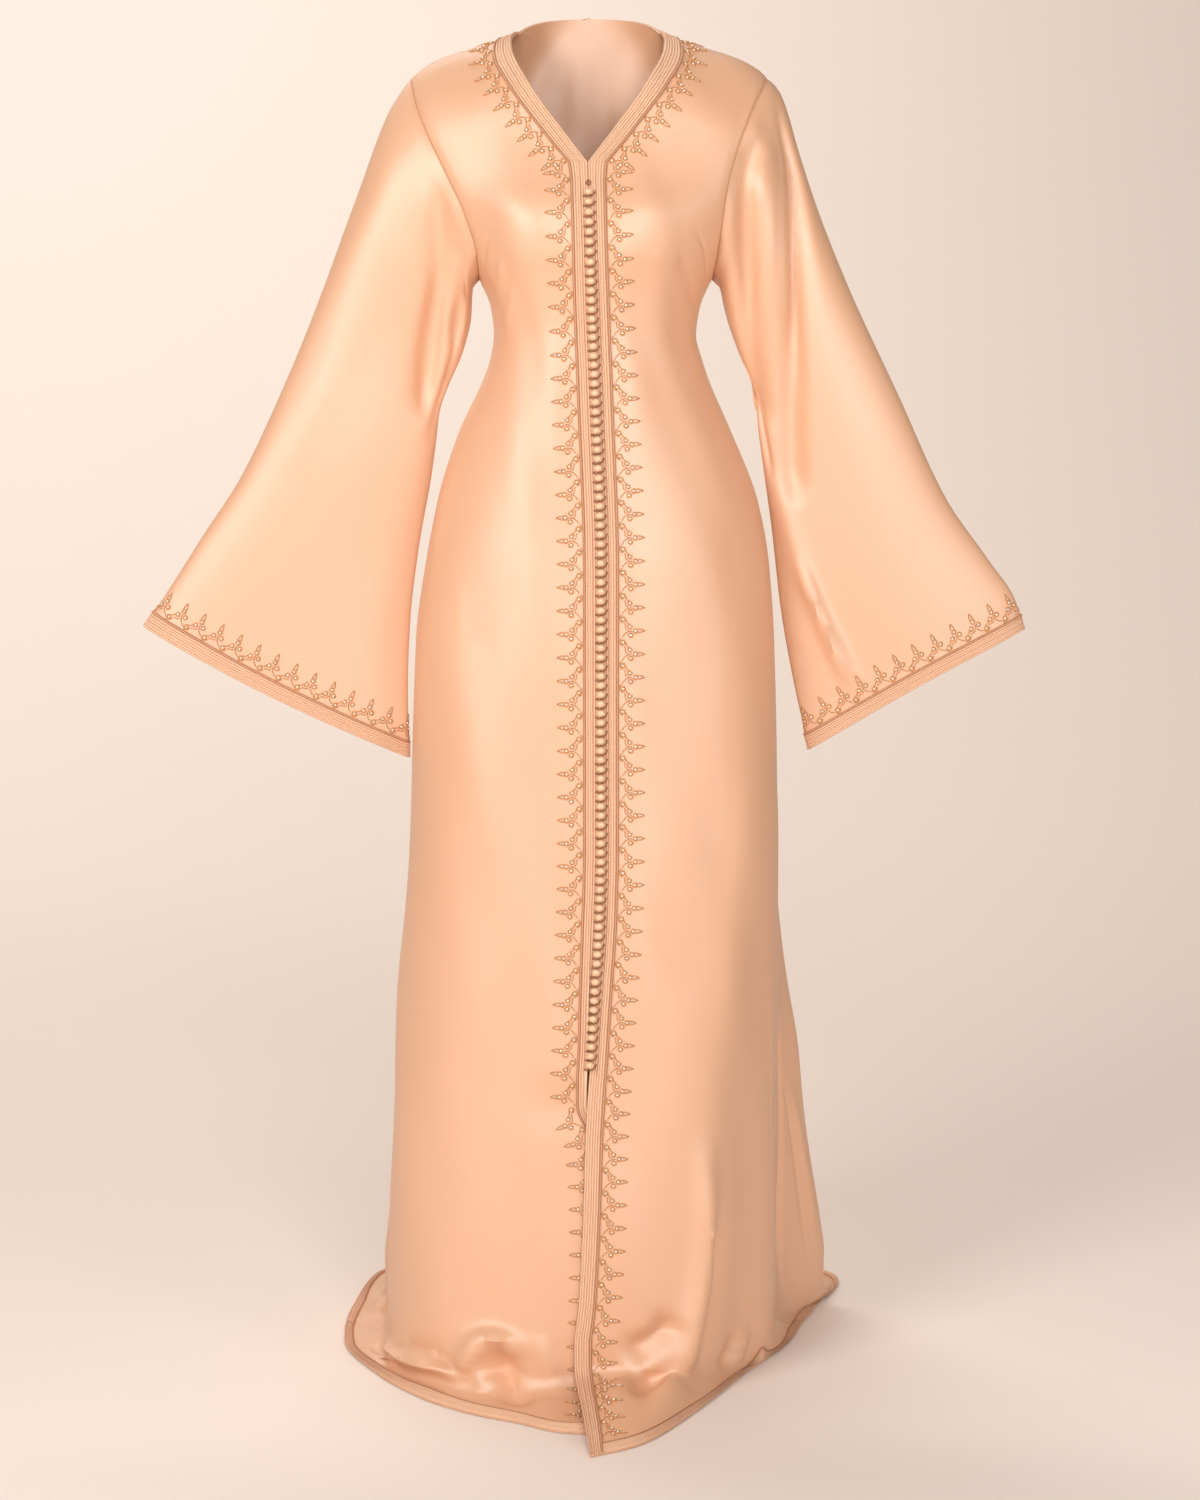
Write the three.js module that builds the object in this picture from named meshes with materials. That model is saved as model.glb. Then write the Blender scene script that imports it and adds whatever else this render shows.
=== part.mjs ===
import * as THREE from "three";

// Kaftan, worn form. Millimetres: X to the viewer's right, Y to the back, Z up, zero between the shoulders.

// Cloth, braid and knots
const WALL = 1.6;
const SEAM_GAP = 0.36;
const MITRE_LEAST = 0.3;
const BRAID_WIDTH = 19;
const BRAID_THICK = 1.2;
const BRAID_LIFT = 0.35;
// The braid runs down the V at a slant, so it covers more width there
const BRAID_SLANT = 0.22;
const SLANT_FULL = -30;
const SLANT_BLEND = 25;
const KNOT_COUNT = 94;
const KNOTS_PER_GROUP = 8;
const KNOT_HALF_WIDTH = 4.8;
const KNOT_HALF_DEPTH = 3.7;
const KNOT_CORD = 1.3;
const KNOT_CLEAR = 0.5;
const KNOT_SIDES = 6;
const KNOT_RINGS = [
  { at: -0.46, size: 0 },
  { at: -0.18, size: 1 },
  { at: 0.22, size: 1 },
];
const FIRST_KNOT = -166;
const LAST_KNOT = -1090;

// Levels from the shoulders down to the floor
const NECK_TOP = 18;
const V_BOTTOM = -131;
const V_ROW_OUTER = -150;
const UNDERARM = -248;
const SLIT_TOP = -1093;
const SLIT_END = -1135;
const BREAK = -1385;
const FLOOR = -1455;
const SHELL_FLOOR = FLOOR + WALL / 2;

// Half width of the neck opening at the shoulder seam, and how round the shoulders are
const NECK_HALF = 77;
const FRONT_ROUND = 95;
const BACK_ROUND = 80;

// The right front laps over the left one below the slit
const LAP_DEPTH = 5.5;
const LAP_SPREAD = 90;
const LAP_FLOOR = 18;
const LAP_LIFT = 5;
const LAP_SIDE_NEAR = 40;
const LAP_SIDE_FAR = 95;
const LAP_HEM_NEAR = 12;
const LAP_HEM_FAR = 45;

// Mesh rows and columns
const FRONT_COLUMNS = 10;
const NECK_COLUMNS = 4;
const BRAID_COLUMNS = 2;
const YOKE_ROWS = 6;
const ARM_ROWS = 5;
const ARMHOLE_ROWS = YOKE_ROWS + ARM_ROWS;
const YOKE_CROWDING = 1.5;
const BACK_CROWDING = 1.35;
const HALVINGS = 24;
const SAME_POINT = 0.001;
const SLEEVE_ROWS = 16;
const SLEEVE_CROWN = 0.016;
const HEM_STEPS = 8;
const HEM_STEP_LEAST = 6;
const SKIRT_LEVELS = [
  -280, -309, -340, -375, -415, -460, -510, -565, -630, -700, -780, -860, -940, -1015, SLIT_TOP,
  SLIT_END, -1175, -1245, -1315, BREAK,
];

// Body sections: reach to each side, depth of front and back from y = 0, side seam line, corner power
const BODY = [
  { z: 40, left: 222, right: 226, front: 58, back: 60, side: 10, corner: 2.2 },
  { z: -50, left: 216, right: 220, front: 72, back: 66, side: 10, corner: 2.2 },
  { z: -98, left: 208, right: 213, front: 82, back: 72, side: 10, corner: 2.2 },
  { z: -142, left: 190, right: 198, front: 94, back: 76, side: 10, corner: 2.2 },
  { z: -187, left: 157, right: 170, front: 108, back: 76, side: 10, corner: 2.2 },
  { z: -226, left: 132, right: 147, front: 110, back: 72, side: 10, corner: 2.2 },
  { z: -250, left: 120, right: 132, front: 106, back: 68, side: 10, corner: 2.2 },
  { z: -280, left: 108, right: 119, front: 102, back: 64, side: 9, corner: 2.2 },
  { z: -309, left: 105, right: 115, front: 99, back: 62, side: 8, corner: 2.2 },
  { z: -335, left: 109, right: 122, front: 100, back: 64, side: 8, corner: 2.2 },
  { z: -360, left: 118, right: 131, front: 103, back: 69, side: 8, corner: 2.2 },
  { z: -412, left: 142, right: 154, front: 111, back: 84, side: 7, corner: 2.25 },
  { z: -489, left: 167, right: 184, front: 122, back: 102, side: 6, corner: 2.3 },
  { z: -560, left: 182, right: 198, front: 131, back: 110, side: 5, corner: 2.3 },
  { z: -640, left: 193, right: 204, front: 134, back: 111, side: 3, corner: 2.3 },
  { z: -858, left: 201, right: 209, front: 142, back: 120, side: 0, corner: 2.35 },
  { z: -1052, left: 215, right: 210, front: 155, back: 142, side: 0, corner: 2.4 },
  { z: -1180, left: 222, right: 209.5, front: 166, back: 160, side: 0, corner: 2.4 },
  { z: -1285, left: 227, right: 209.5, front: 177, back: 178, side: 0, corner: 2.4 },
  { z: -1400, left: 230, right: 209.5, front: 188, back: 198, side: 0, corner: 2.4 },
];

// Line where the two fronts meet. The left front's edge turns back, stands off at the slit, then runs under
const CENTRE = [
  { z: -131, x: -2, turn: 0, off: 0, lap: 0 },
  { z: -276, x: 2, turn: 0, off: 0, lap: 0 },
  { z: -380, x: 6, turn: 0, off: 0, lap: 0 },
  { z: -560, x: 12, turn: 0, off: 0, lap: 0 },
  { z: -859, x: 12, turn: 0, off: 4.6, lap: 0 },
  { z: -940, x: 10, turn: 0, off: 4.6, lap: 0 },
  { z: -1015, x: 5, turn: 0.5, off: 4.6, lap: 0 },
  { z: -1093, x: 0, turn: 1, off: 4.6, lap: 0 },
  { z: -1135, x: -3, turn: 1, off: 2.4, lap: 0 },
  { z: -1175, x: -5, turn: 0, off: 0, lap: 24 },
  { z: -1245, x: -7, turn: 0, off: 0, lap: 31 },
  { z: -1344, x: -12, turn: 0, off: 0, lap: 36 },
  { z: -1400, x: -19, turn: 0, off: 0, lap: 40 },
];

// Height of the shoulder top at a distance from the centre
const SHOULDER = [
  { x: 0, z: 120 },
  { x: 22, z: 99 },
  { x: 45, z: 67 },
  { x: 63, z: 40 },
  { x: 72, z: 25 },
  { x: 77, z: 18 },
  { x: 93, z: 11 },
  { x: 110, z: 5 },
  { x: 130, z: -1.5 },
  { x: 151, z: -7.5 },
  { x: 170, z: -15 },
  { x: 184, z: -23.5 },
  { x: 196, z: -33 },
];

// Half width of the V neck, and the height of the back neck edge
const NECKLINE = [
  { z: 18, half: 77 },
  { z: 6, half: 82 },
  { z: -6, half: 81 },
  { z: -18, half: 77 },
  { z: -33, half: 69 },
  { z: -58, half: 54 },
  { z: -95, half: 27 },
  { z: -131, half: 0 },
];
const BACK_NECK = [
  { x: 0, z: 39.5 },
  { x: 22, z: 38.5 },
  { x: 45, z: 35 },
  { x: 63, z: 29 },
  { x: 77, z: 18 },
];

// Armhole seams: distance from x = 0 at each height
const ARMHOLES = {
  left: [
    { z: -33, front: 196, back: 196 },
    { z: -65, front: 188, back: 186 },
    { z: -98, front: 175, back: 172 },
    { z: -142, front: 154, back: 157 },
    { z: -187, front: 133, back: 142 },
    { z: -226, front: 122, back: 128 },
    { z: -248, front: 120.5, back: 120.5 },
  ],
  right: [
    { z: -33, front: 193, back: 193 },
    { z: -76, front: 173.5, back: 180 },
    { z: -119, front: 158, back: 166 },
    { z: -158, front: 148, back: 154 },
    { z: -203, front: 141, back: 142 },
    { z: -226, front: 137.5, back: 137 },
    { z: -248, front: 133, back: 133 },
  ],
};

// Extra width of the back skirt towards its corners, and the right side seam's turn to the back in degrees
const FLARE = [
  { z: -520, left: 0, right: 0, turn: 0 },
  { z: -940, left: 38, right: 62, turn: 0 },
  { z: -1045, left: 48, right: 82, turn: 3 },
  { z: -1125, left: 56, right: 98, turn: 5 },
  { z: -1205, left: 62, right: 108, turn: 7 },
  { z: -1325, left: 72, right: 131, turn: 9 },
  { z: -1400, left: 80, right: 147, turn: 10 },
];
const FLARE_MIDDLE = 145;
const FLARE_FORWARD = 27;
const FLARE_BACKWARD = 22;

// Hem on the floor by share of the half round, from the front edge to the middle of the back
const HEM = {
  left: [
    { t: -0.05, x: 26, y: -285 },
    { t: 0, x: -15, y: -279 },
    { t: 0.017, x: -31, y: -276 },
    { t: 0.069, x: -74, y: -250 },
    { t: 0.133, x: -128, y: -221 },
    { t: 0.2, x: -178, y: -180 },
    { t: 0.311, x: -240, y: -94 },
    { t: 0.43, x: -283, y: 9 },
    { t: 0.5, x: -287, y: 77 },
    { t: 0.65, x: -282, y: 155 },
    { t: 0.8, x: -264, y: 262 },
    { t: 0.9, x: -170, y: 312 },
    { t: 1, x: 0, y: 322 },
  ],
  right: [
    { t: 0, x: 1, y: -345 },
    { t: 0.062, x: 52, y: -312 },
    { t: 0.166, x: 107, y: -227 },
    { t: 0.305, x: 168, y: -106 },
    { t: 0.45, x: 230, y: 10 },
    { t: 0.55, x: 250, y: 76 },
    { t: 0.64, x: 266, y: 122 },
    { t: 0.71, x: 281, y: 168 },
    { t: 0.8, x: 304, y: 239 },
    { t: 0.87, x: 255, y: 295 },
    { t: 0.94, x: 120, y: 316 },
    { t: 1, x: 0, y: 322 },
  ],
};
const HEM_ROUND = 26;
const HEM_ROUND_SHARE = 0.8;
const HEM_SLOPE = 0.18;

// Bust fullness on each front
const BUST = { x: 66, z: -200, wide: 52, tall: 56, out: 15 };

// Folds of the front skirt: where each opens and reaches its full depth, and the line it runs down
const FRONT_RIDGE = [{ z: -700, x: 184 }, { z: -1045, x: 158 }, { z: -1400, x: 121 }];
const FRONT_HOLLOW = [{ z: -760, x: 200 }, { z: -1400, x: 170 }];
const FRONT_FOLDS = [
  { top: -680, full: -900, width: 26, out: 7, line: FRONT_RIDGE },
  { top: -760, full: -1400, width: 42, out: -44, line: FRONT_HOLLOW },
];

// Hanging folds of the back skirt: place at the break, width, top, outward depth
const BACK_FOLDS = [
  { x: -128, width: 36, top: -700, out: -17 },
  { x: -62, width: 32, top: -600, out: 13 },
  { x: 2, width: 36, top: -560, out: -20 },
  { x: 68, width: 32, top: -640, out: 14 },
  { x: 136, width: 38, top: -680, out: -18 },
];

// Cloth heaped on the floor inside the hem: share of the half round, width, height, distance in from the hem
const HEAPS = {
  left: [
    { t: 0.09, width: 0.035, up: 14, inward: 62, deep: 26 },
    { t: 0.2, width: 0.04, up: 12, inward: 50, deep: 22 },
    { t: 0.36, width: 0.04, up: 10, inward: 40, deep: 18 },
    { t: 0.62, width: 0.05, up: 14, inward: 55, deep: 24 },
    { t: 0.82, width: 0.05, up: 16, inward: 60, deep: 26 },
  ],
  right: [
    { t: 0.05, width: 0.04, up: 10, inward: 85, deep: 30 },
    { t: 0.12, width: 0.035, up: 15, inward: 60, deep: 24 },
    { t: 0.5, width: 0.05, up: 10, inward: 40, deep: 18 },
    { t: 0.72, width: 0.05, up: 15, inward: 55, deep: 24 },
    { t: 0.9, width: 0.05, up: 16, inward: 60, deep: 26 },
  ],
};

// Lines of the sleeve folds in front view
const LEFT_TROUGH = [{ z: -100, x: 166 }, { z: -229, x: 163 }, { z: -331, x: 177 }, { z: -410, x: 187 }];
const LEFT_PLEAT = [{ z: -190, x: 146 }, { z: -270, x: 143 }, { z: -340, x: 156 }];
const RIGHT_PLEAT = [{ z: -85, x: 186 }, { z: -167, x: 171 }, { z: -330, x: 177 }, { z: -420, x: 196 }];
const RIGHT_TROUGH = [{ z: -45, x: 197 }, { z: -167, x: 222 }, { z: -384, x: 222 }, { z: -500, x: 226 }];
const RIGHT_RIDGE = [{ z: -430, x: 196 }, { z: -558, x: 231 }, { z: -660, x: 275 }, { z: -715, x: 303 }];

// Sleeves in front view: upper edge and under edge by height
const SLEEVES = {
  left: {
    sign: -1,
    upper: [
      { z: -33, x: 196 },
      { z: -71, x: 221 },
      { z: -168, x: 259 },
      { z: -265, x: 295 },
      { z: -363, x: 335 },
      { z: -461, x: 383 },
      { z: -527, x: 427 },
      { z: -594, x: 471 },
      { z: -629, x: 495 },
    ],
    under: [
      { z: -248, x: 120.5 },
      { z: -256, x: 129 },
      { z: -290, x: 132 },
      { z: -325, x: 141 },
      { z: -359, x: 155 },
      { z: -396, x: 166.5 },
      { z: -472, x: 178 },
      { z: -543, x: 191 },
      { z: -619, x: 200 },
      { z: -700, x: 203 },
      { z: -775, x: 203.5 },
    ],
    backHem: 20,
    frontHem: -5,
    folds: [
      { top: -95, full: -150, width: 13, out: -11, line: LEFT_TROUGH },
      { top: -185, full: -230, width: 9, out: -8, line: LEFT_PLEAT },
    ],
  },
  right: {
    sign: 1,
    upper: [
      { z: -33, x: 193 },
      { z: -50, x: 207 },
      { z: -110, x: 228 },
      { z: -190, x: 257 },
      { z: -271, x: 289 },
      { z: -379, x: 341 },
      { z: -489, x: 393 },
      { z: -555, x: 441 },
      { z: -597, x: 471 },
      { z: -632, x: 481 },
    ],
    under: [
      { z: -248, x: 133 },
      { z: -256, x: 142 },
      { z: -272, x: 146 },
      { z: -293, x: 152 },
      { z: -325, x: 164 },
      { z: -364, x: 179.5 },
      { z: -414, x: 187 },
      { z: -515, x: 202 },
      { z: -604, x: 211 },
      { z: -708, x: 231 },
      { z: -766, x: 245 },
    ],
    backHem: 4,
    frontHem: 4,
    folds: [
      { top: -85, full: -130, width: 12, out: -11, line: RIGHT_PLEAT },
      { top: -45, full: -110, width: 13, out: -13, line: RIGHT_TROUGH },
      { top: -430, full: -520, width: 11, out: 6, line: RIGHT_RIDGE },
    ],
  },
};
const SLEEVE_DEPTHS = [
  { u: 0, upper: 60, under: 50, middle: 4, seam: 1 },
  { u: 0.06, upper: 60, under: 40, middle: 4, seam: 0.55 },
  { u: 0.14, upper: 56, under: 30, middle: 3, seam: 0.2 },
  { u: 0.3, upper: 46, under: 20, middle: 2, seam: 0 },
  { u: 0.6, upper: 38, under: 16, middle: 0, seam: 0 },
  { u: 1, upper: 26, under: 15, middle: -4, seam: 0 },
];
const FOLD_FADE = 45;
const HEM_BOW_START = 0.7;

const SATIN = { color: 0xf0c8a6, roughness: 0.42, metalness: 0 };
const BRAID = { color: 0xd9ae90, roughness: 0.6, metalness: 0.15 };
const CORD = { color: 0xc8987a, roughness: 0.6, metalness: 0.15 };

const lerp = (a, b, t) => a + (b - a) * t;
const share = (a, b, x) => Math.min(1, Math.max(0, (x - a) / (b - a)));
const ease = (a, b, x) => share(a, b, x) ** 2 * (3 - 2 * share(a, b, x));
const bell = (distance, width) => Math.exp(-((distance / width) ** 2));
const radians = (degrees) => (degrees * Math.PI) / 180;

// A smooth curve through one column of a table that doesn't overshoot its rows
function through(rows, key, value) {
  const list = [...rows].sort((a, b) => a[key] - b[key]);
  const xs = list.map((row) => row[key]);
  const ys = list.map((row) => row[value]);
  const slopes = xs.slice(1).map((x, i) => (ys[i + 1] - ys[i]) / (x - xs[i]));
  const tangents = xs.map((_, i) => {
    if (i === 0) return slopes[0];
    if (i === slopes.length) return slopes[i - 1];
    const product = slopes[i - 1] * slopes[i];
    return product <= 0 ? 0 : (2 * product) / (slopes[i - 1] + slopes[i]);
  });
  return (x) => {
    if (x <= xs[0]) return ys[0];
    if (x >= xs[slopes.length]) return ys[slopes.length];
    const i = xs.findIndex((next) => next > x) - 1;
    const width = xs[i + 1] - xs[i];
    const t = (x - xs[i]) / width;
    const enter = tangents[i] * width;
    const leave = tangents[i + 1] * width;
    const rise = ys[i + 1] - ys[i];
    return ys[i] + t * (enter + t * (3 * rise - 2 * enter - leave + t * (enter + leave - 2 * rise)));
  };
}

function columnsOf(rows, key) {
  const names = Object.keys(rows[0]).filter((name) => name !== key);
  return Object.fromEntries(names.map((name) => [name, through(rows, key, name)]));
}

const body = columnsOf(BODY, "z");
const centre = columnsOf(CENTRE, "z");
const flare = columnsOf(FLARE, "z");
const sleeveDepth = columnsOf(SLEEVE_DEPTHS, "u");
const shoulderHeight = through(SHOULDER, "x", "z");
const neckHalf = through(NECKLINE, "z", "half");
const backNeckHeight = through(BACK_NECK, "x", "z");
const armholes = { left: columnsOf(ARMHOLES.left, "z"), right: columnsOf(ARMHOLES.right, "z") };
const hem = { left: columnsOf(HEM.left, "t"), right: columnsOf(HEM.right, "t") };
const signOf = { left: -1, right: 1 };

function foldAt(folds, x, z) {
  return folds.reduce((sum, fold) => {
    const end = fold.line.at(-1).z;
    const open = end <= BREAK ? 1 : ease(end, end + FOLD_FADE, z);
    const line = through(fold.line, "z", "x");
    return sum + fold.out * open * ease(fold.top, fold.full, z) * bell(x - line(z), fold.width);
  }, 0);
}

// Reach of the body from the centre line, on the side that an angle is on
const reach = (angle, z) => (angle < 0 ? body.left(z) + centre.x(z) : body.right(z) - centre.x(z));

// Signed angle of the body point that lies at a distance from the centre line
function angleAt(offset, z) {
  const power = body.corner(z) / 2;
  return Math.sign(offset) * Math.asin(Math.min(1, Math.abs(offset) / reach(offset, z)) ** power);
}

// Point of the body at an angle from the front line (positive to +X, pi at the back) and a height
function bodyPoint(angle, z) {
  const turn = Math.abs(angle);
  const sign = Math.sign(angle);
  const power = 2 / body.corner(z);
  const isFront = turn < Math.PI / 2;
  const fromFlare = turn - radians(FLARE_MIDDLE);
  const flareWidth = radians(fromFlare < 0 ? FLARE_FORWARD : FLARE_BACKWARD);
  const flared = (sign > 0 ? flare.right(z) : flare.left(z)) * bell(fromFlare, flareWidth);
  const x = centre.x(z) + sign * (reach(angle, z) * Math.sin(turn) ** power + flared);
  const round = isFront ? FRONT_ROUND : BACK_ROUND;
  const below = share(0, round, shoulderHeight(Math.abs(x)) - z);
  const depth = (isFront ? -body.front(z) : body.back(z)) - body.side(z);
  let y = body.side(z) + depth * Math.abs(Math.cos(turn)) ** power * Math.sqrt(1 - (1 - below) ** 2);
  if (isFront) {
    const fromBust = bell(Math.abs(x - centre.x(z)) - BUST.x, BUST.wide) * bell(z - BUST.z, BUST.tall);
    y -= BUST.out * fromBust * Math.cos(turn) + foldAt(FRONT_FOLDS, x, z);
  } else {
    const widening = reach(angle, z) / reach(angle, BREAK);
    const folded = BACK_FOLDS.reduce(
      (sum, fold) => sum + fold.out * ease(fold.top, BREAK, z) * bell(x / widening - fold.x, fold.width),
      0,
    );
    y += folded * Math.abs(Math.cos(turn)) ** power;
  }
  return new THREE.Vector3(x, y, z);
}

// Point of the skirt below the break, by its distance in from the hem along the cloth
function skirtEnd(side, angle, step) {
  const start = bodyPoint(angle, BREAK);
  const t = (angle * signOf[side]) / Math.PI;
  const end = new THREE.Vector3(hem[side].x(t), hem[side].y(t), SHELL_FLOOR);
  const run = Math.hypot(end.x - start.x, end.y - start.y);
  const drop = BREAK - SHELL_FLOOR;
  const round = Math.min(HEM_ROUND, run * HEM_ROUND_SHARE);
  const flat = run - round;
  const curved = (round * Math.PI) / 2;
  const marks = [0, BRAID_WIDTH / 2, BRAID_WIDTH, (flat + BRAID_WIDTH) / 2, flat];
  marks.push(flat + curved / 3, flat + (2 * curved) / 3, flat + curved);
  const least = step > BRAID_COLUMNS ? BRAID_WIDTH + HEM_STEP_LEAST * (step - BRAID_COLUMNS) : 0;
  const inward = Math.max(marks[step], least);
  let out = run - inward;
  let up = 0;
  if (inward > flat + curved) {
    out = 0;
    up = round + inward - flat - curved;
  } else if (inward > flat) {
    const angleIn = (inward - flat) / round;
    out = round * (1 - Math.sin(angleIn));
    up = round * (1 - Math.cos(angleIn));
  }
  const heaped = HEAPS[side].reduce(
    (sum, heap) => sum + heap.up * bell(t - heap.t, heap.width) * bell(inward - heap.inward, heap.deep),
    0,
  );
  up += HEM_SLOPE * Math.min(inward, flat) * (1 - share(0, drop, up));
  const along = out / Math.max(run, 1);
  const point = new THREE.Vector3(lerp(start.x, end.x, along), lerp(start.y, end.y, along), SHELL_FLOOR + up);
  point.z += heaped * (1 - share(0, drop, up)) * ease(0, BRAID_WIDTH, inward);
  return { point, inward, up: share(0, drop, up) };
}

// Angle of the side seam at a height
const seamAngle = (side, z) => signOf[side] * (Math.PI / 2 + (side === "right" ? radians(flare.turn(z)) : 0));

// Signed angle of an armhole point
const armholeAngle = (side, face, z) => angleAt(signOf[side] * armholes[side][face](z) - centre.x(z), z);

// Offset across the front of a braid column from the free edge
function braidOffset(column, z) {
  const slope = ease(NECK_TOP, SLANT_FULL, z) * ease(V_BOTTOM - SLANT_BLEND, V_BOTTOM + SLANT_BLEND, z);
  return ((column * BRAID_WIDTH) / BRAID_COLUMNS) * (1 + BRAID_SLANT * slope);
}

const shoulderX = (side, column) => {
  const tip = armholes[side].front(ARMHOLES[side][0].z);
  if (column <= BRAID_COLUMNS) return NECK_HALF + (column * BRAID_WIDTH) / BRAID_COLUMNS;
  return lerp(NECK_HALF + BRAID_WIDTH, tip, (column - BRAID_COLUMNS) / (FRONT_COLUMNS - BRAID_COLUMNS));
};
const shoulderPoint = (side, column) => {
  const x = shoulderX(side, column);
  return new THREE.Vector3(signOf[side] * x, body.side(0), shoulderHeight(x));
};

// A front: rows from the shoulder seam to the hem, columns from the free edge to armhole and side seam
function frontGrid(side) {
  const sign = signOf[side];
  const isLeft = side === "left";
  const tip = ARMHOLES[side][0].z;
  const rows = [Array.from({ length: FRONT_COLUMNS + 1 }, (_, j) => shoulderPoint(side, j))];
  const pushRow = (innerZ, outerZ, edge, outerAngle, bowed) => {
    const first = sign * angleAt(edge(BRAID_COLUMNS), innerZ);
    rows.push(
      Array.from({ length: FRONT_COLUMNS + 1 }, (_, j) => {
        const height = shoulderHeight(shoulderX(side, j));
        const braidZ = innerZ + bowed * (height - NECK_TOP);
        if (j <= BRAID_COLUMNS) return bodyPoint(angleAt(edge(j), innerZ), braidZ);
        const g = (j - BRAID_COLUMNS) / (FRONT_COLUMNS - BRAID_COLUMNS);
        const z = lerp(innerZ, outerZ, g) + bowed * (height - lerp(NECK_TOP, tip, g));
        const angle = lerp(first, Math.abs(outerAngle), g);
        return bodyPoint(sign * angle, j === FRONT_COLUMNS ? outerZ : z);
      }),
    );
  };
  for (let i = 1; i <= YOKE_ROWS; i++) {
    const w = (i / YOKE_ROWS) ** YOKE_CROWDING;
    const innerZ = lerp(NECK_TOP, V_BOTTOM, w);
    const outerZ = lerp(tip, V_ROW_OUTER, w);
    const edge = (j) => sign * (neckHalf(innerZ) * (i < YOKE_ROWS ? 1 : 0) + braidOffset(j, innerZ));
    pushRow(innerZ, outerZ, edge, armholeAngle(side, "front", outerZ), (1 - w) ** 2);
  }
  for (let i = 1; i <= ARM_ROWS; i++) {
    const innerZ = lerp(V_BOTTOM, UNDERARM, i / ARM_ROWS);
    const outerZ = lerp(V_ROW_OUTER, UNDERARM, Math.sin(((i / ARM_ROWS) * Math.PI) / 2));
    const outer = i === ARM_ROWS ? seamAngle(side, outerZ) : armholeAngle(side, "front", outerZ);
    pushRow(innerZ, outerZ, (j) => sign * braidOffset(j, innerZ), outer, 0);
  }
  const turnedOffset = (j, z) => {
    const folded = centre.off(z) + (Math.max(0, j - 1) * BRAID_WIDTH) / BRAID_COLUMNS;
    return lerp(braidOffset(j, z), folded, centre.turn(z)) - centre.lap(z);
  };
  const edgeBelow = (j, z) => sign * (isLeft ? turnedOffset(j, z) : braidOffset(j, z));
  for (const z of SKIRT_LEVELS) pushRow(z, z, (j) => edgeBelow(j, z), seamAngle(side, z), 0);
  const breakRow = (j) => {
    if (j <= BRAID_COLUMNS) return angleAt(edgeBelow(j, BREAK), BREAK);
    const first = sign * angleAt(edgeBelow(BRAID_COLUMNS, BREAK), BREAK);
    const g = (j - BRAID_COLUMNS) / (FRONT_COLUMNS - BRAID_COLUMNS);
    return sign * lerp(first, Math.abs(seamAngle(side, BREAK)), g);
  };
  for (let step = HEM_STEPS - 1; step >= 0; step--) {
    rows.push(
      Array.from({ length: FRONT_COLUMNS + 1 }, (_, j) => {
        const { point, inward, up } = skirtEnd(side, breakRow(j), step);
        const nearEdge = 1 - ease(LAP_SIDE_NEAR, LAP_SIDE_FAR, Math.abs(point.x - rows.at(-1)[0].x));
        if (!isLeft) point.z += LAP_LIFT * nearEdge * (1 - up) * ease(LAP_HEM_NEAR, LAP_HEM_FAR, inward);
        return point;
      }),
    );
  }
  if (isLeft) {
    for (const row of rows) {
      const edge = row[0].x;
      row[0].y += (centre.turn(row[0].z) * BRAID_WIDTH) / BRAID_COLUMNS;
      for (const point of row) {
        const under = ease(SLIT_TOP, SLIT_END, point.z) * ease(SHELL_FLOOR, SHELL_FLOOR + LAP_FLOOR, point.z);
        point.y += LAP_DEPTH * under * (1 - ease(0, LAP_SPREAD, Math.abs(point.x - edge)));
      }
    }
  }
  return rows;
}

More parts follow.
